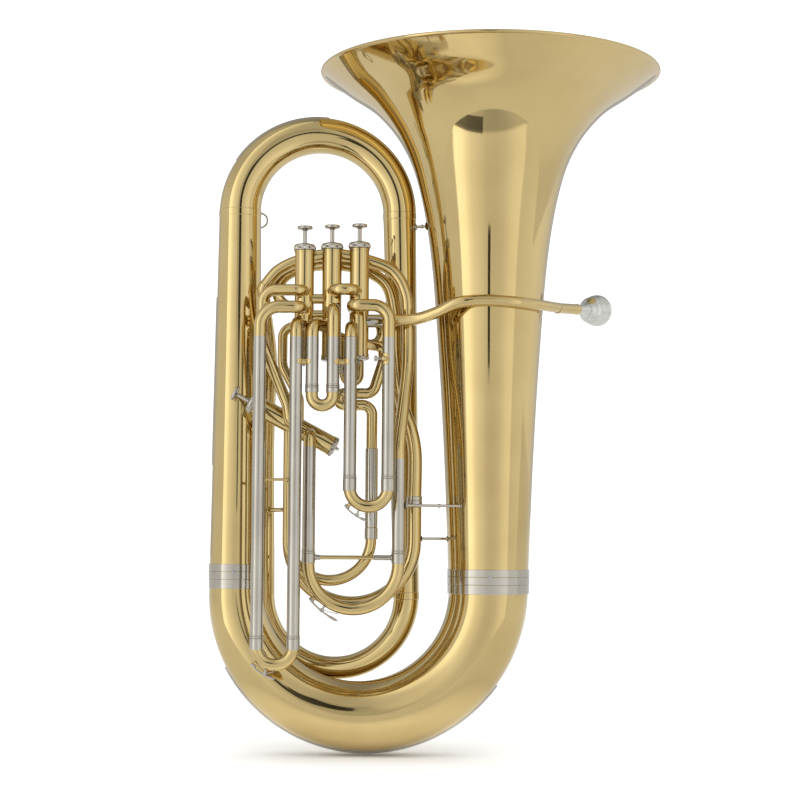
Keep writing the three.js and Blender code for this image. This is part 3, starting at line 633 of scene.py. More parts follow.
def make_branches():
    outer = [vec(-BELL_X, 0, mix(BRANCH_JOINT, TOP_BOW_Z - 2.2, k / 8)) for k in range(9)]
    gold("outer_branch", tapered(outer, BOW_BRANCH_END, BRANCH_TOP_RADIUS, LARGE_SIDES))
    top = vec(INNER_TOP["x"], INNER_TOP["y"], TOP_BOW_Z - 2)
    low = vec(INNER_LOW["x"], INNER_LOW["y"], INNER_BOW_Z + 2)
    inner = [top.lerp(low, k / 8) for k in range(9)]
    gold("inner_branch", tapered(inner, INNER_TOP["radius"], INNER_LOW["radius"], LARGE_SIDES))
    along = (top - low).normalized()
    joints = [(top - along * 5, along, INNER_TOP["radius"]), (low - along * 5, along, INNER_LOW["radius"]),
              (vec(-BELL_X, 0, TOP_BOW_Z - 7), UP, BRANCH_TOP_RADIUS)]
    gold("branch_rings", joined(*[band(start, way, radius - 0.5, radius + 0.5, 10, LARGE_SIDES)
                                  for start, way, radius in joints]))


ARCH_LEFT = vec(-140, ARCH_Y, 645)
ARCH_SLOPE = vec(0.35, 0, 0.94).normalized()


def make_inner_bow():
    centre = vec((INNER_LOW["x"] + INNER_LEFT["x"]) / 2, INNER_LOW["y"], INNER_BOW_Z)
    bow = half_turn(centre, (INNER_LOW["x"] - INNER_LEFT["x"]) / 2, INNER_LEFT["y"], 64)
    x, y = INNER_LEFT["x"], INNER_LEFT["y"]
    leg = smooth([bow[-1], vec(x, y, 300), vec(x, y, 430), vec(-137, 36, 490), vec(-133, 10, 550),
                  vec(-138, ARCH_Y + 8, 610), ARCH_LEFT - ARCH_SLOPE * 2])[1:]
    points = [vec(INNER_LOW["x"], INNER_LOW["y"], INNER_BOW_Z + 2)] + bow + leg + [ARCH_LEFT]
    gold("inner_bow", tapered(points, INNER_LOW["radius"], SMALL_TUBE, 48))


def guard(name, at, outward, reach, spans, half_width, thick=1.5, steps=60, across=10):
    """A half-oval guard strip that lies on a tube's outer side and runs to a point at each end."""
    outer, inner = [], []
    for i in range(steps + 1):
        t = mix(spans[0], spans[1], i / steps)
        width = half_width * math.sqrt(max(1 - abs(2 * i / steps - 1) ** 6, 0.004))
        for k in range(across + 1):
            s = 2 * k / across - 1
            angle = width * s / reach(t)
            way = outward(t) * math.cos(angle) + vec(0, 1, 0) * math.sin(angle)
            height = 0.15 + thick * math.sqrt(max(1 - s * s, 0))
            outer.append(at(t) + way * (reach(t) + height))
            inner.append(at(t) + way * (reach(t) - 0.3))
    row, under = across + 1, len(outer)
    faces = []
    for i in range(steps):
        for k in range(across):
            a, b = i * row + k, (i + 1) * row + k
            faces.append([a, a + 1, b + 1, b])
            faces.append([under + a + 1, under + a, under + b, under + b + 1])
        for k, turn in ((0, 1), (across, -1)):
            a, b = i * row + k, (i + 1) * row + k
            faces.append([a, b, under + b, under + a][::turn])
    for i, turn in ((0, -1), (steps, 1)):
        for k in range(across):
            a = i * row + k
            faces.append([a, a + 1, under + a + 1, under + a][::turn])
    nickel(name, Shape().add(outer + inner, faces))


def make_guards():
    def radial(angle):
        return vec(math.cos(angle), 0, math.sin(angle))

    guard("bottom_bow_guard", lambda a: vec(0, 0, BOW_Z) + radial(a) * BOW_RADIUS, radial,
          lambda a: bow_radius(-a), (math.radians(-35), math.radians(-150)), 13, thick=2, steps=90)
    guard("top_bow_guard", top_bow_point, radial, top_bow_radius, (math.radians(85), math.radians(148)), 8)
    guard("outer_branch_guard", lambda z: vec(-BELL_X, 0, z), lambda z: vec(-1, 0, 0),
          lambda z: mix(BOW_BRANCH_END, BRANCH_TOP_RADIUS, (z - BRANCH_JOINT) / (TOP_BOW_Z - BRANCH_JOINT)),
          (398, 636), 6, thick=1.2)


# ---------- tubing over and behind the valves ----------

def make_main_arch():
    slide = SLIDES["main_slide"]
    x, y, top = slide["right"], slide["y"], MAIN_SLEEVE_TOPS["right"]
    over = smooth([
        vec(x, y, top - 1), vec(x, y, 425), vec(56, -56, 478), vec(61.6, ARCH_Y - 3, 535),
        vec(61.6, ARCH_Y, 600), vec(58, ARCH_Y, 640), vec(40, ARCH_Y, 670), vec(-2, ARCH_Y, 687),
        vec(-44, ARCH_Y, 693), vec(-86, ARCH_Y, 686), vec(-120, ARCH_Y, 670), ARCH_LEFT + ARCH_SLOPE * 2.3])
    gold("main_arch", sweep(over + [ARCH_LEFT], SMALL_TUBE, SLEEVE["bore"] - 0.2))
    nickel("main_slide_right_sleeve", sleeve_shape(x, y, slide["joint"], top))
    gold("arch_ring", band(ARCH_LEFT - ARCH_SLOPE * 5, ARCH_SLOPE, SMALL_TUBE - 0.4, SMALL_TUBE + 0.7, 10))


def make_rear_bow():
    x, centre, z, y, radius = (REAR_BOW[key] for key in ("x", "centre", "z", "y", "radius"))
    top = side_valve_z(centre - x + 3)
    inlet = route([vec(centre - x, y, z), vec(centre - x, y, top), vec(centre - x + 3, SIDE_VALVE["y"], top)],
                  10.5)[1:]
    points = [vec(centre + x, y, REAR_JOINT)] + half_turn(vec(centre, y, z), x) + inlet
    valve_tube("rear_bow", points, radius, radius, 4)
    nickel("rear_bow_ferrule", joined(
        band(vec(centre + x, y, REAR_JOINT - 5.5), UP, radius - 0.4, radius + 1, 5.2),
        band(vec(centre + x, y, REAR_JOINT), UP, radius - 0.4, radius + 1, 5.5)))


def make_rear_arch():
    x, y = REAR_BOW["centre"] + REAR_BOW["x"], REAR_BOW["y"]
    points = smooth([
        vec(x, y, REAR_JOINT + 0.3), vec(x, y, 420), vec(66.5, -25, 450), vec(57, -21, 476),
        vec(50, -17, 510), vec(44, REAR_Y, 560), vec(42, REAR_Y, 617), vec(30, REAR_Y, 655),
        vec(-6, REAR_Y, 676), vec(-46, REAR_Y, 681), vec(-84, REAR_Y, 677), vec(-112, REAR_Y - 1, 663),
        vec(-122, -24, 641), vec(-110, -38, 622), vec(VALVE_X[3], VALVE_Y, 616)])
    valve_tube("rear_arch", points, REAR_BOW["radius"], 7.4, 3)


def make_return_tube():
    radius, centre, z, y, outer = (RETURN_BOW[key] for key in ("radius", "centre", "z", "y", "tube"))
    right = centre + radius
    down = route([
        vec(VALVE_X[1], VALVE_Y, 566), vec(28, y, 562), vec(29, y, 545), vec(14, y, 497),
        vec(-34, y, 497), vec(-34, y, 481), vec(right, y, 481), vec(right, y, z),
    ], [9, 30, 14, 8, 8, 14])[:-1]
    end = vec(centre - radius, y, side_valve_z(centre - radius))
    points = down + half_turn(vec(centre, y, z), radius)[1:] + [end]
    valve_tube("compensating_return", points, outer, outer, 1, 4)
    step, top = 312, 421
    nickel("return_tube_sleeve", joined(
        band(vec(right, y, step), UP, outer - 0.3, outer + 1.1, top - step),
        band(vec(right, y, z), UP, outer - 0.3, outer + 1.4, step - z - 0.4)))


def make_third_compensator():
    points = route([
        vec(VALVE_X[3], VALVE_Y + 8, 590), vec(-112, -44, 590), vec(-112, -44, 535), vec(-88, -50, 490),
        vec(-88, SIDE_VALVE["y"], side_valve_z(-88))], [16, 30, 20])
    valve_tube("compensating_tube_3", points, 6.8, 6.8, 3, 4)


# ---------- valves ----------

def casing_shape(turned, low):
    low, high = low + 6.3, -CAP_HEIGHT - 0.3
    inner, outer = CASING_RADIUS - 0.2, CASING_RADIUS + 0.7
    return joined(
        turned([(CASING_BORE, low), (CASING_RADIUS, low), (CASING_RADIUS, high), (CASING_BORE, high)]),
        turned([(inner, high - 3.2), (outer, high - 2.9), (outer, high - 0.4), (inner, high)]),
        turned([(inner, low), (outer, low + 0.4), (outer, low + 2.9), (inner, low + 3.2)]))


def top_cap_shape(turned):
    hole = STEM_RADIUS + 0.4
    radius = CAP_RADIUS - 0.5
    knurl = CAP_RADIUS - 0.3
    return joined(
        turned([(hole, -CAP_HEIGHT), (radius - 0.4, -CAP_HEIGHT), (radius, -CAP_HEIGHT + 0.5), (radius, -4.2),
                (CAP_RADIUS - 1.0, -2.4), (CAP_RADIUS - 2.2, -1.2), (CAP_RADIUS - 4.4, -0.5), (9, 0),
                (6.2, 0.1), (5.4, 0.9), (hole + 0.8, 0.9), (hole, 0.4)]),
        turned([(CAP_RADIUS - 1, -CAP_HEIGHT + 1), (knurl, -CAP_HEIGHT + 1.4), (knurl, -4.9),
                (CAP_RADIUS - 1, -4.5)], 216, (54, 0.22, CAP_RADIUS - 0.4)))


def bottom_cap_shape(turned, low):
    rim = CASING_RADIUS + 0.7
    nub = low - NUB_HEIGHT
    base = turned([
        (0, nub), (1.7, nub), (2.2, nub + 0.5), (2.0, low - 0.9), (3.2, low), (8, low + 0.2),
        (rim - 3, low + 0.9), (rim - 1, low + 1.7), (rim - 0.2, low + 3), (rim - 0.2, low + 6),
        (CASING_BORE - 0.4, low + 6.1), (CASING_BORE - 0.6, low + SPRING_FLOOR), (0, low + SPRING_FLOOR)])
    knurl = [(rim - 1, low + 2.6), (rim, low + 3.1), (rim, low + 5.2), (rim - 1, low + 5.7)]
    return joined(base, turned(knurl, 192, (48, 0.2, rim)))


def piston_shape(turned, low):
    """The hollow piston, its stem and its dished button."""
    side, button, head = PISTON_RADIUS, BUTTON_RADIUS, TRAVEL
    return turned([
        (0, PISTON_TOP - 3), (side - 1.2, PISTON_TOP - 3), (side - 1.2, low + 1.5), (3, low + 1.5), (3, low),
        (side - 0.5, low), (side, low + 0.5), (side, PISTON_TOP - 0.5), (side - 0.5, PISTON_TOP),
        (STEM_RADIUS + 1.2, PISTON_TOP), (STEM_RADIUS, PISTON_TOP + 1.2), (STEM_RADIUS, head + 1.1),
        (STEM_RADIUS + 0.4, head + 1.5), (4.6, head + 2.1), (6.6, head + 2.9), (button - 1, head + 3.6),
        (button - 0.25, head + 4.2), (button, head + 5.1), (button - 0.1, head + 6.6),
        (button - 0.8, head + 7.6), (button - 2.2, head + 8), (button - 3.4, head + 7.4),
        (4.5, head + 7.0), (0, head + 6.9)])


def make_valve_spring(number, low, piston_low):
    """A coil between the bottom cap's floor and the piston's lower end."""
    top, down = valve_axis(number)
    up = -down
    wire, radius, turns, per_turn = 0.7, 9, 7, 20
    start, end = low + SPRING_FLOOR + wire + 0.3, piston_low - wire - 0.3
    coil = []
    for k in range(turns * per_turn + 1):
        angle = 2 * math.pi * k / per_turn
        height = mix(start, end, k / (turns * per_turn))
        place = vec(radius * math.cos(angle), radius * math.sin(angle), height)
        coil.append(top + UP.rotation_difference(up) @ place)
    spring = steel(f"valve_{number}_spring", sweep(coil, wire, sides=8))
    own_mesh(spring)


def make_valve(number):
    """One valve, drawn from the top of its cap at height 0 along its axis upwards."""
    top, down = valve_axis(number)
    low = -valve_length(number)
    piston_low = low + SPRING_FLOOR + 2.6 * TRAVEL
    name = f"valve_{number}"

    def turned(profile, sides=48, ripple=None):
        return lathe(profile, top, -down, sides, ripple)

    gold(f"{name}_casing", casing_shape(turned, low))
    nickel(f"{name}_top_cap", top_cap_shape(turned))
    nickel(f"{name}_bottom_cap", bottom_cap_shape(turned, low))
    nickel(f"{name}_piston", piston_shape(turned, piston_low), body=f"{name}_piston")
    make_valve_spring(number, low, piston_low)


# ---------- links between valves ----------

def make_knuckle(name, z, radius, bore):
    """A short straight tube between valves 3 and 2."""
    ends = [vec(VALVE_X[3] + 11, VALVE_Y, z), vec(VALVE_X[2] - 11, VALVE_Y, z)]
    gold(name, seated(sweep(ends, radius, bore), 3, 2))


def make_links():
    """The tubes that join neighbouring valves."""
    from_x, to_x, front, high = VALVE_X[2] + 4, VALVE_X[1] - 6, VALVE_Y - 28, 638
    crook = [vec(from_x, VALVE_Y, high), vec(from_x, front, high), vec(to_x, front, high),
             vec(to_x, VALVE_Y, high)]
    valve_tube("crook_2_to_1", route(crook, 12), 8.2, 8.2, 2, 1)
    make_knuckle("knuckle_3_to_2", 627.5, 7, 5.8)
    end = vec(-99, SIDE_VALVE["y"], side_valve_z(-99))
    link = route([
        vec(VALVE_X[3] - 1, VALVE_Y, 637), vec(VALVE_X[3] - 1, -82, 637), vec(-138, -76, 637),
        vec(-139, -75, 565), vec(-103, -75, 480), vec(end.x, -76, end.z), end,
    ], [10, 18, 40, 20, 10])
    valve_tube("link_3_to_4", link, 8, 8, 3, 4)


# ---------- slides ----------

def sleeve_shape(x, y, joint, top):
    """A nickel outer sleeve with a slightly raised ring at its open, lower end."""
    low = vec(x, y, joint + 0.3)
    ring = band(low, UP, SLEEVE["bore"] + 0.2, SLEEVE["radius"] + 0.45, 2.2, edge=0.4)
    return joined(sweep([low, vec(x, y, top)], SLEEVE["radius"], SLEEVE["bore"]), ring)


def make_sleeve(name, side, valve, start, bends, sleeve_top=BRANCH_END):
    """A gold branch from the valve and the nickel sleeve that the slide's leg runs in."""
    slide = SLIDES[name]
    x, y = slide[side], slide["y"]
    corners = [start] + [vec(start.x, y, start.z)] * (len(bends) - 1) + [vec(x, y, start.z)]
    points = stop_short(route(corners + [vec(x, y, sleeve_top)], bends), valve)
    branch = sweep(points, SLEEVE["radius"] - 0.2, SLEEVE["bore"] - 0.2)
    gold(f"{name}_{side}_sleeve_branch", seated(branch, valve))
    nickel(f"{name}_{side}_sleeve", sleeve_shape(x, y, slide["joint"], sleeve_top))


def make_sleeves():
    one, two, three = (SLIDES[key] for key in ("slide_1", "slide_2", "slide_3"))
    branches = [
        ("slide_1", "left", 1, one["left"] + 1, 586, [15]),
        ("slide_1", "right", 1, VALVE_X[1] - 8, 615, [11, 22]),
        ("slide_2", "left", 2, VALVE_X[2] - 4, 589, [14]),
        ("slide_2", "right", 2, two["right"] - 2, 611, [15]),
        ("slide_3", "right", 3, three["right"] + 4, 592, [15]),
        ("slide_3", "left", 3, VALVE_X[3] - 3, 612, [11, 26]),
    ]
    for name, side, valve, x, z, bends in branches:
        make_sleeve(name, side, valve, vec(x, VALVE_Y, z), bends)
    x = SLIDES["main_slide"]["left"]
    start = vec(x, SIDE_VALVE["y"], side_valve_z(x))
    make_sleeve("main_slide", "left", 4, start, [11], MAIN_SLEEVE_TOPS["left"])


def bow_point(slide, degrees, reach):
    """A place on the outside of a slide's bow, at an angle measured down from the right leg."""
    angle = math.radians(degrees)
    radius = (slide["right"] - slide["left"]) / 2 + reach
    x = (slide["left"] + slide["right"]) / 2 + radius * math.cos(angle)
    return vec(x, slide["y"], slide["bend"] - radius * math.sin(angle))


def make_slide(name):
    """The sliding U: its bow, and the leg and ferrule on either side."""
    slide = SLIDES[name]
    left, right, joint = slide["left"], slide["right"], slide["joint"]
    cuff, bend, y = slide["cuff"], slide["bend"], slide["y"]
    bow = half_turn(vec((left + right) / 2, y, bend), (right - left) / 2)
    start = max(bend, cuff) + 1.5
    bow = [vec(right, y, start)] + bow + [vec(left, y, start)]
    gold(name, sweep(bow, SLIDE_BOW, SLIDE_BORE), body=name)
    for label, x in (("left", left), ("right", right)):
        leg = sweep([vec(x, y, joint - 1), vec(x, y, joint + slide["insert"])], SLIDE_LEG, SLIDE_BORE)
        nickel(f"{name}_{label}_leg", leg, body=name)
        ferrule = joined(
            band(vec(x, y, cuff), UP, SLIDE_BORE + 0.2, SLIDE_FERRULE, joint - cuff - 2.4, edge=0.5),
            band(vec(x, y, joint - 2.2), UP, SLIDE_BORE + 0.2, SLIDE_FERRULE + 0.35, 2.1, edge=0.4))
        nickel(f"{name}_{label}_ferrule", ferrule, body=name)
    if name in KEY_ANGLES:
        make_water_key(name)


def make_water_key(name):
    """A sprung lever with a corked cup over the drain nipple; its posts belong to the slide."""
    slide = SLIDES[name]
    pad, pivot, thumb = KEY_ANGLES[name]
    key = f"{name}_water_key"
    surface, out = SLIDE_BOW - 0.6, SLIDE_BOW + KEY_HEIGHT
    across = vec(0, 1, 0)

    def at(degrees, reach):
        return bow_point(slide, degrees, reach)

    def outward(degrees):
        return (at(degrees, 20) - at(degrees, 0)).normalized()

    nipple = [(1.4, 0), (3.4, 0), (2.7, 0.9), (2.5, 2.7), (1.4, 2.7)]
    gold(f"{name}_drain", lathe(nipple, at(pad, surface), outward(pad)), body=name)

    lever, radii = [], []
    for k in range(33):
        t = k / 32
        lever.append(at(mix(pad, thumb, t), out + KEY_LIFT * t * t))
        radii.append(1.2 + (0.8 * math.sin(math.pi * (t - 0.72) / 0.28) if t > 0.72 else 0))
    cup = lathe([(0, 0), (3, 0), (3.8, 0.4), (4, 1), (4, 3.4), (3.4, 3.9), (1.6, 4.3), (0, 4.5)],
                at(pad, SLIDE_BOW + 3), outward(pad))
    hinge = at(pivot, out)
    barrel, pin = (bar(hinge - across * half, hinge + across * half, radius)
                   for half, radius in ((3.2, 2), (4.9, 0.9)))
    plate = lathe([(0, -0.7), (2.4, -0.6), (3.2, -0.1), (3.2, 0.3), (2.4, 0.7), (0, 0.8)],
                  lever[-2], outward(thumb))
    nickel(key, joined(sweep(lever, radii, sides=16), cup, barrel, pin, plate), body=key)
    cork = [(0, 0), (2.9, 0), (3.2, 0.3), (3.2, 1.1), (0, 1.1)]
    add_piece(f"{key}_cork", lathe(cork, at(pad, SLIDE_BOW + 2.1), outward(pad)), CORK, body=key)

    foot = at(pivot, surface)
    up = (hinge - foot).normalized()
    eye = [(0, -0.8), (2.3, -0.8), (2.6, -0.4), (2.6, 0.4), (2.3, 0.8), (0, 0.8)]
    for side, label in ((-1, "front"), (1, "back")):
        offset = across * (4.1 * side)
        rise = [foot + offset * 0.8, foot.lerp(hinge, 0.55) + offset, hinge + offset]
        post = joined(sweep(rise, 1.3, sides=16), lathe(eye, hinge + offset, across))
        nickel(f"{key}_post_{label}", post, body=name)
    coil = []
    along = up.cross(across)
    for k in range(61):
        angle = 2 * math.pi * k / 15
        round_pin = (up * math.sin(angle) + along * math.cos(angle)) * 2.6
        coil.append(hinge + across * mix(-2.6, 2.6, k / 60) + round_pin)
    steel(f"{key}_spring", sweep(coil, 0.35, sides=8), body=name)
    arm = [at(mix(pivot, thumb, t), mix(out - 1.5, SLIDE_BOW + 0.4, t)) for t in (0, 0.35, 0.7, 0.95)]
    steel(f"{key}_spring_arm", sweep(smooth(arm), 0.45, sides=8), body=name)


def make_cross_rod():
    """The main slide's cross rod: a brass bar in two nickel sockets."""
    slide = SLIDES["main_slide"]
    y, z = slide["y"], slide["joint"] - 8
    left, right = vec(slide["left"] + 8.8, y, z), vec(slide["right"] - 8.8, y, z)
    along = vec(1, 0, 0)
    gold("main_slide_cross_rod", bar(left, right, 2.7), body="main_slide")
    sockets = joined(
        lathe([(0, 0), (4.6, 0), (4.3, 0.9), (3.5, 1.6), (3.4, 24), (3, 24.5), (0, 24.5)], right, -along),
        lathe([(0, 0), (4.6, 0), (4.3, 0.9), (3.5, 1.6), (3.4, 7), (3, 7.5), (0, 7.5)], left, along))
    nickel("main_slide_cross_rod_sockets", sockets, body="main_slide")


# ---------- leadpipe, receiver and mouthpiece ----------

PIPE_WAY = vec(math.cos(PIPE_ANGLE) * math.cos(PIPE_TILT), math.sin(PIPE_ANGLE) * math.cos(PIPE_TILT),
               math.sin(PIPE_TILT))
RECEIVER_START = vec(RECEIVER["x"], RECEIVER["y"], RECEIVER["z"])


def make_leadpipe():
    def around(degrees, z):
        angle = math.radians(degrees)
        return vec(BELL_X + PIPE_AROUND * math.sin(angle), -PIPE_AROUND * math.cos(angle), z)

    end = RECEIVER_START - PIPE_WAY * 0.6
    points = smooth([
        vec(VALVE_X[1] + 4, VALVE_Y, 597), vec(40, VALVE_Y, 598), vec(70, -60, 599.5), vec(98, -72, 607),
        vec(130, -86, 620.5), around(-8, 624), around(20, 622.5), around(40, 621.5), around(54, 621.5), end])
    valve_tube("leadpipe", points, PIPE_RADIUS + 0.3, PIPE_RADIUS - 1, 1)
    sleeve = [vec(VALVE_X[1] + 12, VALVE_Y, 597.3), vec(27, VALVE_Y, 597.6), vec(28, VALVE_Y, 597.6)]
    nickel("leadpipe_sleeve", seated(sweep(sleeve, [9.2, 9.2, 8.8], 8.2), 1))


def make_receiver():
    """A tapered tube that laps back over the end of the leadpipe."""
    length, radius = RECEIVER["length"], RECEIVER["radius"]
    start = RECEIVER_START - PIPE_WAY * RECEIVER_LAP
    shape = lathe([
        (7.2, -0.5), (radius - 0.4, -0.5), (radius, 0.1), (radius, 1.5), (radius - 0.4, 2.1),
        (radius - 0.5, 4.4), (radius - 0.4, length - 7), (radius - 0.1, length - 5.4),
        (radius, length - 4), (radius, length - 0.8), (radius - 0.3, length), (6.9, length),
        (6.7, length - SHANK_DEPTH - 1)], start, PIPE_WAY, TUBE_SIDES)
    gold("receiver", shape)


def make_mouthpiece():
    start = RECEIVER_START + PIPE_WAY * (RECEIVER["length"] - SHANK_DEPTH)
    outside = [
        (5.8, 0), (6.6, SHANK_DEPTH), (7.2, 42), (8.0, 47.5), (9.0, 49.5), (9.2, 50.4), (8.9, 51.3),
        (9.2, 54.5), (10.8, 57.4), (14.2, 60.2), (17.4, 63.2), (19.3, 66.6), (20.0, 70.4), (20.2, 72),
        (19.7, 72.5), (20.3, 73.2), (20.5, 75), (20.0, 75.5), (20.6, 76.2), (20.9, 77.6), (21.0, 78.2),
        (21.8, 79), (22.2, 80.2), (22.0, 82.4), (22.2, 84), (22.8, 85.4), (22.8, 87.6), (22.4, 89.4),
        (21.2, 90.7), (19.8, 91), (18.4, 90.6), (17.2, 89.4), (16.5, 87.6)]
    inside = [(15.9, 80), (14.6, 72), (12.2, 64.5), (8.6, 58.5), (5.0, 55.6), (4.0, 54), (3.9, 50),
              (4.1, 30), (4.6, 0)]
    shape = lathe(outside + inside, start, PIPE_WAY, 96)
    add_piece("mouthpiece", shape, SILVER, body="mouthpiece", crease=50)


# ---------- braces, stays and small fittings ----------

def flange(centre, direction, radius):
    """A turned foot that a brace stands on."""
    return lathe([(0, 0), (radius, 0), (radius, 0.7), (radius - 0.6, 1.2), (radius * 0.55, 1.7),
                  (radius * 0.42, 2.6), (0, 2.6)], centre, direction)


def rod_with_feet(start, end, radius, foot, collar=None):
    along = (end - start).normalized()
    parts = [bar(start, end, radius), flange(start, along, foot), flange(end, -along, foot)]
    if collar is not None:
        middle = start.lerp(end, collar)
        parts.append(lathe([(0, -1.4), (radius + 0.5, -1.4), (radius + 1.1, -0.6), (radius + 1.1, 0.6),
                            (radius + 0.5, 1.4), (0, 1.4)], middle, along))
    return joined(*parts)


def inner_branch_at(z):
    """Centre and radius of the inner branch at a height."""
    t = (z - INNER_BOW_Z) / (TOP_BOW_Z - INNER_BOW_Z)
    centre = vec(mix(INNER_LOW["x"], INNER_TOP["x"], t), mix(INNER_LOW["y"], INNER_TOP["y"], t), z)
    return centre, mix(INNER_LOW["radius"], INNER_TOP["radius"], t)


def bell_radius_at(z):
    outline = bell_outline()
    for before, after in zip(outline, outline[1:]):
        if after.y > z:
            return mix(before.x, after.x, (z - before.y) / (after.y - before.y))
    return BELL_RADIUS


def bell_side(z, angle):
    """A place just under the bell's surface on its left, turned towards the front by an angle."""
    reach = bell_radius_at(z) - 0.4
    return vec(BELL_X - reach * math.cos(angle), -reach * math.sin(angle), z)


def make_braces():
    z, forward = 739.6, 8
    centre, reach = inner_branch_at(z)
    start = vec(centre.x + math.sqrt(reach ** 2 - forward ** 2) - 0.4, centre.y - forward, z)
    nickel("bell_brace_upper", rod_with_feet(start, bell_side(z, 0), 2, 5.6, 0.6))
    z = 342.5
    main = SLIDES["main_slide"]
    start = vec(main["right"] + SLEEVE["radius"] - 0.4, main["y"], z)
    nickel("bell_brace_lower", rod_with_feet(start, bell_side(z, BRACE_ANGLE), 1.9, 5, 0.62))
    bow_right = REAR_BOW["centre"] + REAR_BOW["x"] + REAR_BOW["radius"]
    low = 297
    nickel("rear_bow_brace", rod_with_feet(vec(bow_right - 0.5, REAR_BOW["y"] + 3, low),
                                           vec(BELL_X - bell_radius_at(low) + 0.6, -8, low), 1.9, 4.2))
    slide = SLIDES["slide_3"]
    clear = SLEEVE["radius"] - 0.4
    rod = rod_with_feet(vec(slide["left"] + clear, SLIDE_Y, 376), vec(slide["right"] - clear, SLIDE_Y, 376),
                        2, 3.6)
    gold("slide_3_brace", rod)


def saddle(x, y, z, radius, facing, spread, height, thick=1.3, steps=14):
    """A pad that wraps part of an upright sleeve, on the side that faces an angle in the XY plane."""
    rings = []
    for k in range(steps + 1):
        angle = facing + mix(-spread, spread, k / steps)
        way = vec(math.cos(angle), math.sin(angle), 0)
        fall = height / 2 * math.sqrt(max(1 - abs(2 * k / steps - 1) ** 3, 0.06))
        rings.append([vec(x, y, z) + way * reach + vec(0, 0, side * fall)
                      for reach, side in ((radius - 0.3, -1), (radius + thick, -0.9), (radius + thick, 0.9),
                                          (radius - 0.3, 1))])
    points = [point for ring in rings for point in ring]
    faces = [[0, 1, 2, 3], [4 * steps + 3, 4 * steps + 2, 4 * steps + 1, 4 * steps]]
    for i in range(steps):
        for k in range(4):
            a, b = 4 * i + k, 4 * i + (k + 1) % 4
            faces.append([b, a, a + 4, b + 4])
    return Shape().add(points, faces)


def make_stays():
    """Short gold stays between neighbouring slide sleeves, each with a pad soldered to either sleeve."""
    gaps = [("stay_3_to_2", SLIDES["slide_3"]["right"], SLIDES["slide_2"]["left"]),
            ("stay_2_to_1", SLIDES["slide_2"]["right"], SLIDES["slide_1"]["left"])]
    z, reach, spread = 537, SLEEVE["radius"], math.radians(58)
    for name, left, right in gaps:
        gold(name, joined(
            saddle(left, SLIDE_Y, z, reach, math.radians(-20), spread, 9),
            saddle(right, SLIDE_Y, z, reach, math.radians(200), spread, 9),
            bar(vec(left + reach - 1, SLIDE_Y - 3, z), vec(right - reach + 1, SLIDE_Y - 3, z), 3.6)))


def make_rear_stay():
    """A stay between the inner bow's left leg and the rear bow, behind the third slide."""
    z = 336
    start = vec(INNER_LEFT["x"], INNER_LEFT["y"], z)
    end = vec(REAR_BOW["centre"] - REAR_BOW["x"], REAR_BOW["y"], z)
    along = (end - start).normalized()
    gold("rear_stay", rod_with_feet(start + along * 13, end - along * (REAR_BOW["radius"] - 0.5), 3, 5))


def make_lyre_socket():
    """A socket on a pad at the front left of the first slide's sleeve, with its thumb screw."""
    x, z, reach = SLIDES["slide_1"]["right"], 541, SLEEVE["radius"]
    pad = saddle(x, SLIDE_Y, z, reach, math.radians(228), math.radians(52), 17, 1.5)
    foot = vec(x - 6, SLIDE_Y - reach + 2, z)
    block = lathe([(0, 0), (3.9, 0), (3.9, 5.4), (3.3, 6.9), (2.0, 7.9), (0, 8.3)], foot, vec(0, -1, 0))
    gold("lyre_socket", joined(pad, block))
    start = foot - vec(2, 4, 0)
    along = vec(-1, 0, 0)
    screw = joined(
        bar(start, start + along * 8, 1.5),
        lathe([(0, 7), (3.3, 7), (3.9, 7.8), (3.9, 11), (3.3, 11.8), (0, 11.8)], start, along, 80,
              (20, 0.25, 3.8)))
    nickel("lyre_screw", screw)


def make_strap_ring():
    centre = vec(RING["x"], RING["y"], RING["z"])
    nickel("strap_ring", torus(centre, vec(0, 1, 0), RING["radius"], RING["wire"], 64), body="strap_ring")
    top = centre + vec(0, 0, RING["radius"])
    foot = vec(RING["x"] - 7, 17.2, top.z + 0.5)
    eye = joined(
        torus(top, vec(1, 0, 0), 3.2, 1.1, 32),
        bar(foot, top + vec(0, -3.2, 0.5), 1.6),
        flange(foot + vec(0.6, 0.8, 0), (top - foot).normalized(), 4.4))
    nickel("strap_eye", eye)


def make_first_loop():
    """The first valve's short compensating loop, on its right, down to the return tube."""
    ends = [vec(VALVE_X[1] + 9, -42, 600), vec(24.4, -40, 600), vec(24.4, -47, 566), vec(5, -51, 566)]
    gold("compensating_loop_1", seated(sweep(route(ends, [16, 16]), 6.4, 5.5), 1))


def make_second_loop():
    """A small U behind the first slide, from the second valve to the first."""
    y, z, radius, centre = -35, 524, 11.5, -16
    left, right = centre - radius, centre + radius
    rise = route([vec(VALVE_X[1] + 1, VALVE_Y + 10, 580), vec(right, y, 580), vec(right, y, z)], [8])
    back = route([vec(left, y, z), vec(left, y, 578), vec(VALVE_X[2] + 9, VALVE_Y + 9, 578)], [8])
    points = rise[:-1] + half_turn(vec(centre, y, z), radius) + back[1:]
    gold("compensating_loop_2", seated(sweep(points, 5.3, 4.5), 1, 2))
    rings = [band(vec(left, y, z + 1 + 4 * k), UP, 5.1, 6.2, 3) for k in range(4)]
    nickel("compensating_loop_2_rings", joined(*rings))


# ---------- stage ----------

CAMERA_PLACE = (0.0516, -2.675, 0.3095)  # in metres, as everything on the stage
CAMERA_TILT = math.radians(3.9)
CAMERA_ROLL = math.radians(0.4)
FOCAL_IN_FRAMES = 1900 / 800  # focal length as a share of the frame's width


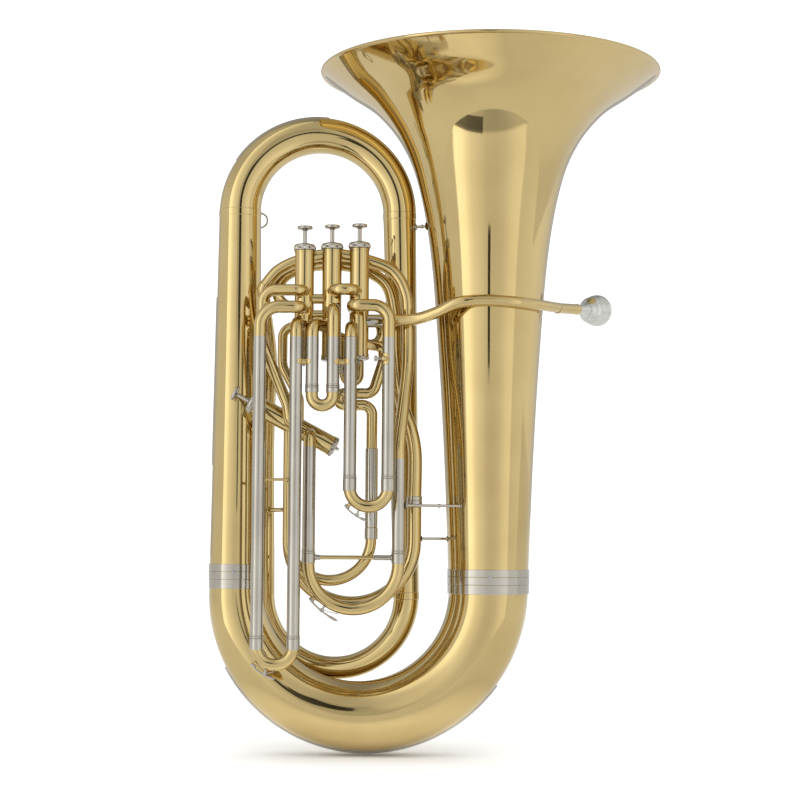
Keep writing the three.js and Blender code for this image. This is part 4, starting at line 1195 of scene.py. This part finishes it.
def make_camera():
    data = bpy.data.cameras.new("camera")
    data.sensor_width = 36
    data.lens = FOCAL_IN_FRAMES * data.sensor_width
    camera = bpy.data.objects.new("camera", data)
    camera.location = CAMERA_PLACE
    upright = Matrix.Rotation(math.radians(90) + CAMERA_TILT, 3, "X")
    camera.rotation_euler = (upright @ Matrix.Rotation(CAMERA_ROLL, 3, "Z")).to_euler()
    bpy.context.scene.collection.objects.link(camera)
    bpy.context.scene.camera = camera


FLOOR_PAINTED_REFLECTION = (0.62, 0.98)  # painted reflection: the floor's tone as only the metal reflects it, darker far off, and painted lighter near the tuba over the shade it casts
FLOOR_PAINTED_LIGHT_REACH = 0.45  # how far the painted lighter part near the tuba reaches
FLOOR_GAP = 0.0005


def stage_mesh(name, corners, material):
    """A flat object that belongs to the stage, not to the tuba."""
    mesh = bpy.data.meshes.new(name)
    mesh.from_pydata(corners, [], [tuple(range(len(corners)))])
    mesh.materials.append(material)
    thing = bpy.data.objects.new(name, mesh)
    bpy.context.scene.collection.objects.link(thing)
    return thing


def make_floor():
    material, tree = surface("pale_floor", Roughness=0.7, Specular_IOR_Level=0)
    pale = tree.tinted(tree.noise(3, 3), (0.86, 0.86, 0.85), (0.9, 0.9, 0.89))
    reach = tree.add("Mapping", Scale=[1 / FLOOR_PAINTED_LIGHT_REACH] * 3, Vector=tree.add("TexCoord").outputs["Object"])
    near = tree.add("TexGradient", Vector=reach.outputs["Vector"])
    near.gradient_type = "SPHERICAL"
    # Glossy rays see painted tones instead of the floor's own pale colour: a painted reflection, darker far
    # off and painted lighter near the tuba to cover its shade.
    far_painted_tone, near_painted_light_tone = ([tone] * 3 for tone in FLOOR_PAINTED_REFLECTION)
    painted_reflection = tree.add("Mix")
    painted_reflection.data_type = "RGBA"
    tree.set(painted_reflection, Factor=tree.add("LightPath").outputs["Is Glossy Ray"], A=pale,
             B=tree.tinted(near.outputs["Fac"], far_painted_tone, near_painted_light_tone))
    tree.set(tree.nodes["Principled BSDF"], Base_Color=painted_reflection.outputs["Result"])
    half, front, z = 30, -0.6, cad_box[0][2] - FLOOR_GAP
    stage_mesh("floor", [(-half, front, z), (half, front, z), (half, half, z), (-half, half, z)], material)


OVERHEAD = {"size": 4, "energy": 45, "place": (0.3, -0.6, 3.4)}


def make_softbox():
    """An overhead light for the floor; the metal's reflections come from the room instead."""
    data = bpy.data.lights.new("overhead", "AREA")
    data.shape = "RECTANGLE"
    data.size = data.size_y = OVERHEAD["size"]
    data.energy = OVERHEAD["energy"]
    light = bpy.data.objects.new("overhead", data)
    light.location = OVERHEAD["place"]
    light.visible_glossy = False
    bpy.context.scene.collection.objects.link(light)


def make_dark_strip():
    """A dark stand far in front, narrow below and wide above; only the metal sees it."""
    middle, y = 0.05, -2.3
    outline = [(0.1, 0.42), (0.1, 0.78), (0.24, 0.95), (0.24, 1.5)]  # half width and height
    corners = [(middle - half, y, z) for half, z in outline]
    corners += [(middle + half, y, z) for half, z in outline[::-1]]
    material, tree = surface("dark_strip", Roughness=1)
    tree.set(tree.nodes["Principled BSDF"], Base_Color=tree.tinted(tree.noise(5, 2), [0.02] * 3, [0.05] * 3))
    strip = stage_mesh("dark_strip", corners, material)
    strip.visible_camera = strip.visible_diffuse = strip.visible_shadow = False


# Brightness of the room by direction: degrees to the right of straight ahead of the tuba, then brightness.
ROOM = [(-180, 0.42), (-150, 0.5), (-115, 0.8), (-61, 0.84), (-59.5, 1.85), (-47, 1.7), (-41, 1.42),
        (-33, 1.18), (-19, 1.0), (-8, 0.84), (6, 0.8), (22, 0.88), (38, 1.1), (50, 1.18), (53, 1.18),
        (55, 0.88), (80, 0.95), (105, 1.0), (130, 0.85), (160, 0.5), (180, 0.42)]
ROOM_PEAK = 2.0  # the brightness that the ramp's white stands for
CEILING = 0.78  # brightness of the upper part of the room against the rest
DARK_PATCHES = [  # azimuths, heights and softness in degrees, then brightness against the rest
    ((-7, 7), (9, 34), 6, 0.74),
    ((-60, -14), (-55, -44), 1, 0.22),
    ((-60, 54), (-64, -46), 3, 0.62),
]
WHITE = 1.25  # brightness of the plain room that the camera sees


class Room(Tree):
    """World nodes that work out a brightness from the direction looked in."""

    def __init__(self, world):
        super().__init__(world)
        split = self.add("SeparateXYZ", Vector=self.add("TexCoord").outputs["Generated"])
        x, y, z = split.outputs
        to_degrees = 180 / math.pi
        ahead = self.math("MULTIPLY", y, -1)
        self.azimuth = self.math("MULTIPLY", self.math("ARCTAN2", x, ahead), to_degrees)
        self.height = self.math("MULTIPLY", self.math("ARCSINE", z), to_degrees)

    def ramp(self, value, start, end):
        node = self.add("MapRange", From_Min=start, From_Max=end, Value=value)
        node.interpolation_type = "SMOOTHSTEP"
        return node.outputs["Result"]

    def between(self, value, low, high, soft):
        """1 where the value lies between low and high, falling to 0 over soft degrees."""
        return self.math("MULTIPLY", self.ramp(value, low - soft, low), self.ramp(value, high + soft, high))

    def patch(self, azimuths, heights, soft, brightness):
        """A factor that darkens part of the room to the brightness given."""
        inside = self.math("MULTIPLY", self.between(self.azimuth, *azimuths, soft),
                           self.between(self.height, *heights, soft))
        return self.math("SUBTRACT", 1, self.math("MULTIPLY", inside, 1 - brightness))

    def profile(self):
        ramp = self.add("ValToRGB", Fac=self.math("DIVIDE", self.math("ADD", self.azimuth, 180), 360))
        elements = ramp.color_ramp.elements
        for i, (degrees, brightness) in enumerate(ROOM):
            place = (degrees + 180) / 360
            element = elements[i] if i < 2 else elements.new(place)
            element.position = place
            element.color = (*[brightness / ROOM_PEAK] * 3, 1)
        return ramp.outputs["Color"]


def make_world():
    """A pale studio whose brightness varies by direction for the metal, and plain white for the camera."""
    world = bpy.data.worlds.new("studio")
    bpy.context.scene.world = world
    room = Room(world)
    ceiling = room.math("SUBTRACT", 1, room.math("MULTIPLY", room.ramp(room.height, 12, 45), 1 - CEILING))
    level, *factors = [room.patch(*patch) for patch in DARK_PATCHES] + [ceiling, ROOM_PEAK]
    for factor in factors:
        level = room.math("MULTIPLY", level, factor)
    background = room.set(room.nodes["Background"], Color=room.profile(), Strength=level)
    plain = room.add("Background", Color=(1, 1, 1, 1), Strength=WHITE)
    rays = room.add("LightPath")
    plainly = room.math("MAXIMUM", rays.outputs["Is Camera Ray"], rays.outputs["Is Diffuse Ray"])
    choose = room.add("MixShader", Fac=plainly)
    room.links.new(background.outputs["Background"], choose.inputs[1])
    room.links.new(plain.outputs["Background"], choose.inputs[2])
    room.set(room.nodes["World Output"], Surface=choose.outputs["Shader"])


# ---------- build ----------

make_camera()
make_bell()
make_ferrule("bell_ferrule", BELL_X, 221, 255, BOW_BELL_END + 0.8)
make_bottom_bow()
make_ferrule("branch_ferrule", -BELL_X, 226, 260, BOW_BRANCH_END)
make_branches()
make_top_bow()
make_guards()
make_inner_bow()
make_main_arch()
make_rear_bow()
make_rear_arch()
make_return_tube()
make_third_compensator()
make_first_loop()
make_second_loop()
make_knuckle("knuckle_lower", 606, 6, 5.2)
for valve_number in (1, 2, 3, 4):
    make_valve(valve_number)
make_links()
make_sleeves()
for slide_name in SLIDES:
    make_slide(slide_name)
make_cross_rod()
make_leadpipe()
make_receiver()
make_mouthpiece()
make_braces()
make_stays()
make_rear_stay()
make_lyre_socket()
make_strap_ring()
make_floor()
make_world()
make_softbox()
make_dark_strip()

scene = bpy.context.scene
scene.view_settings.view_transform = "Standard"
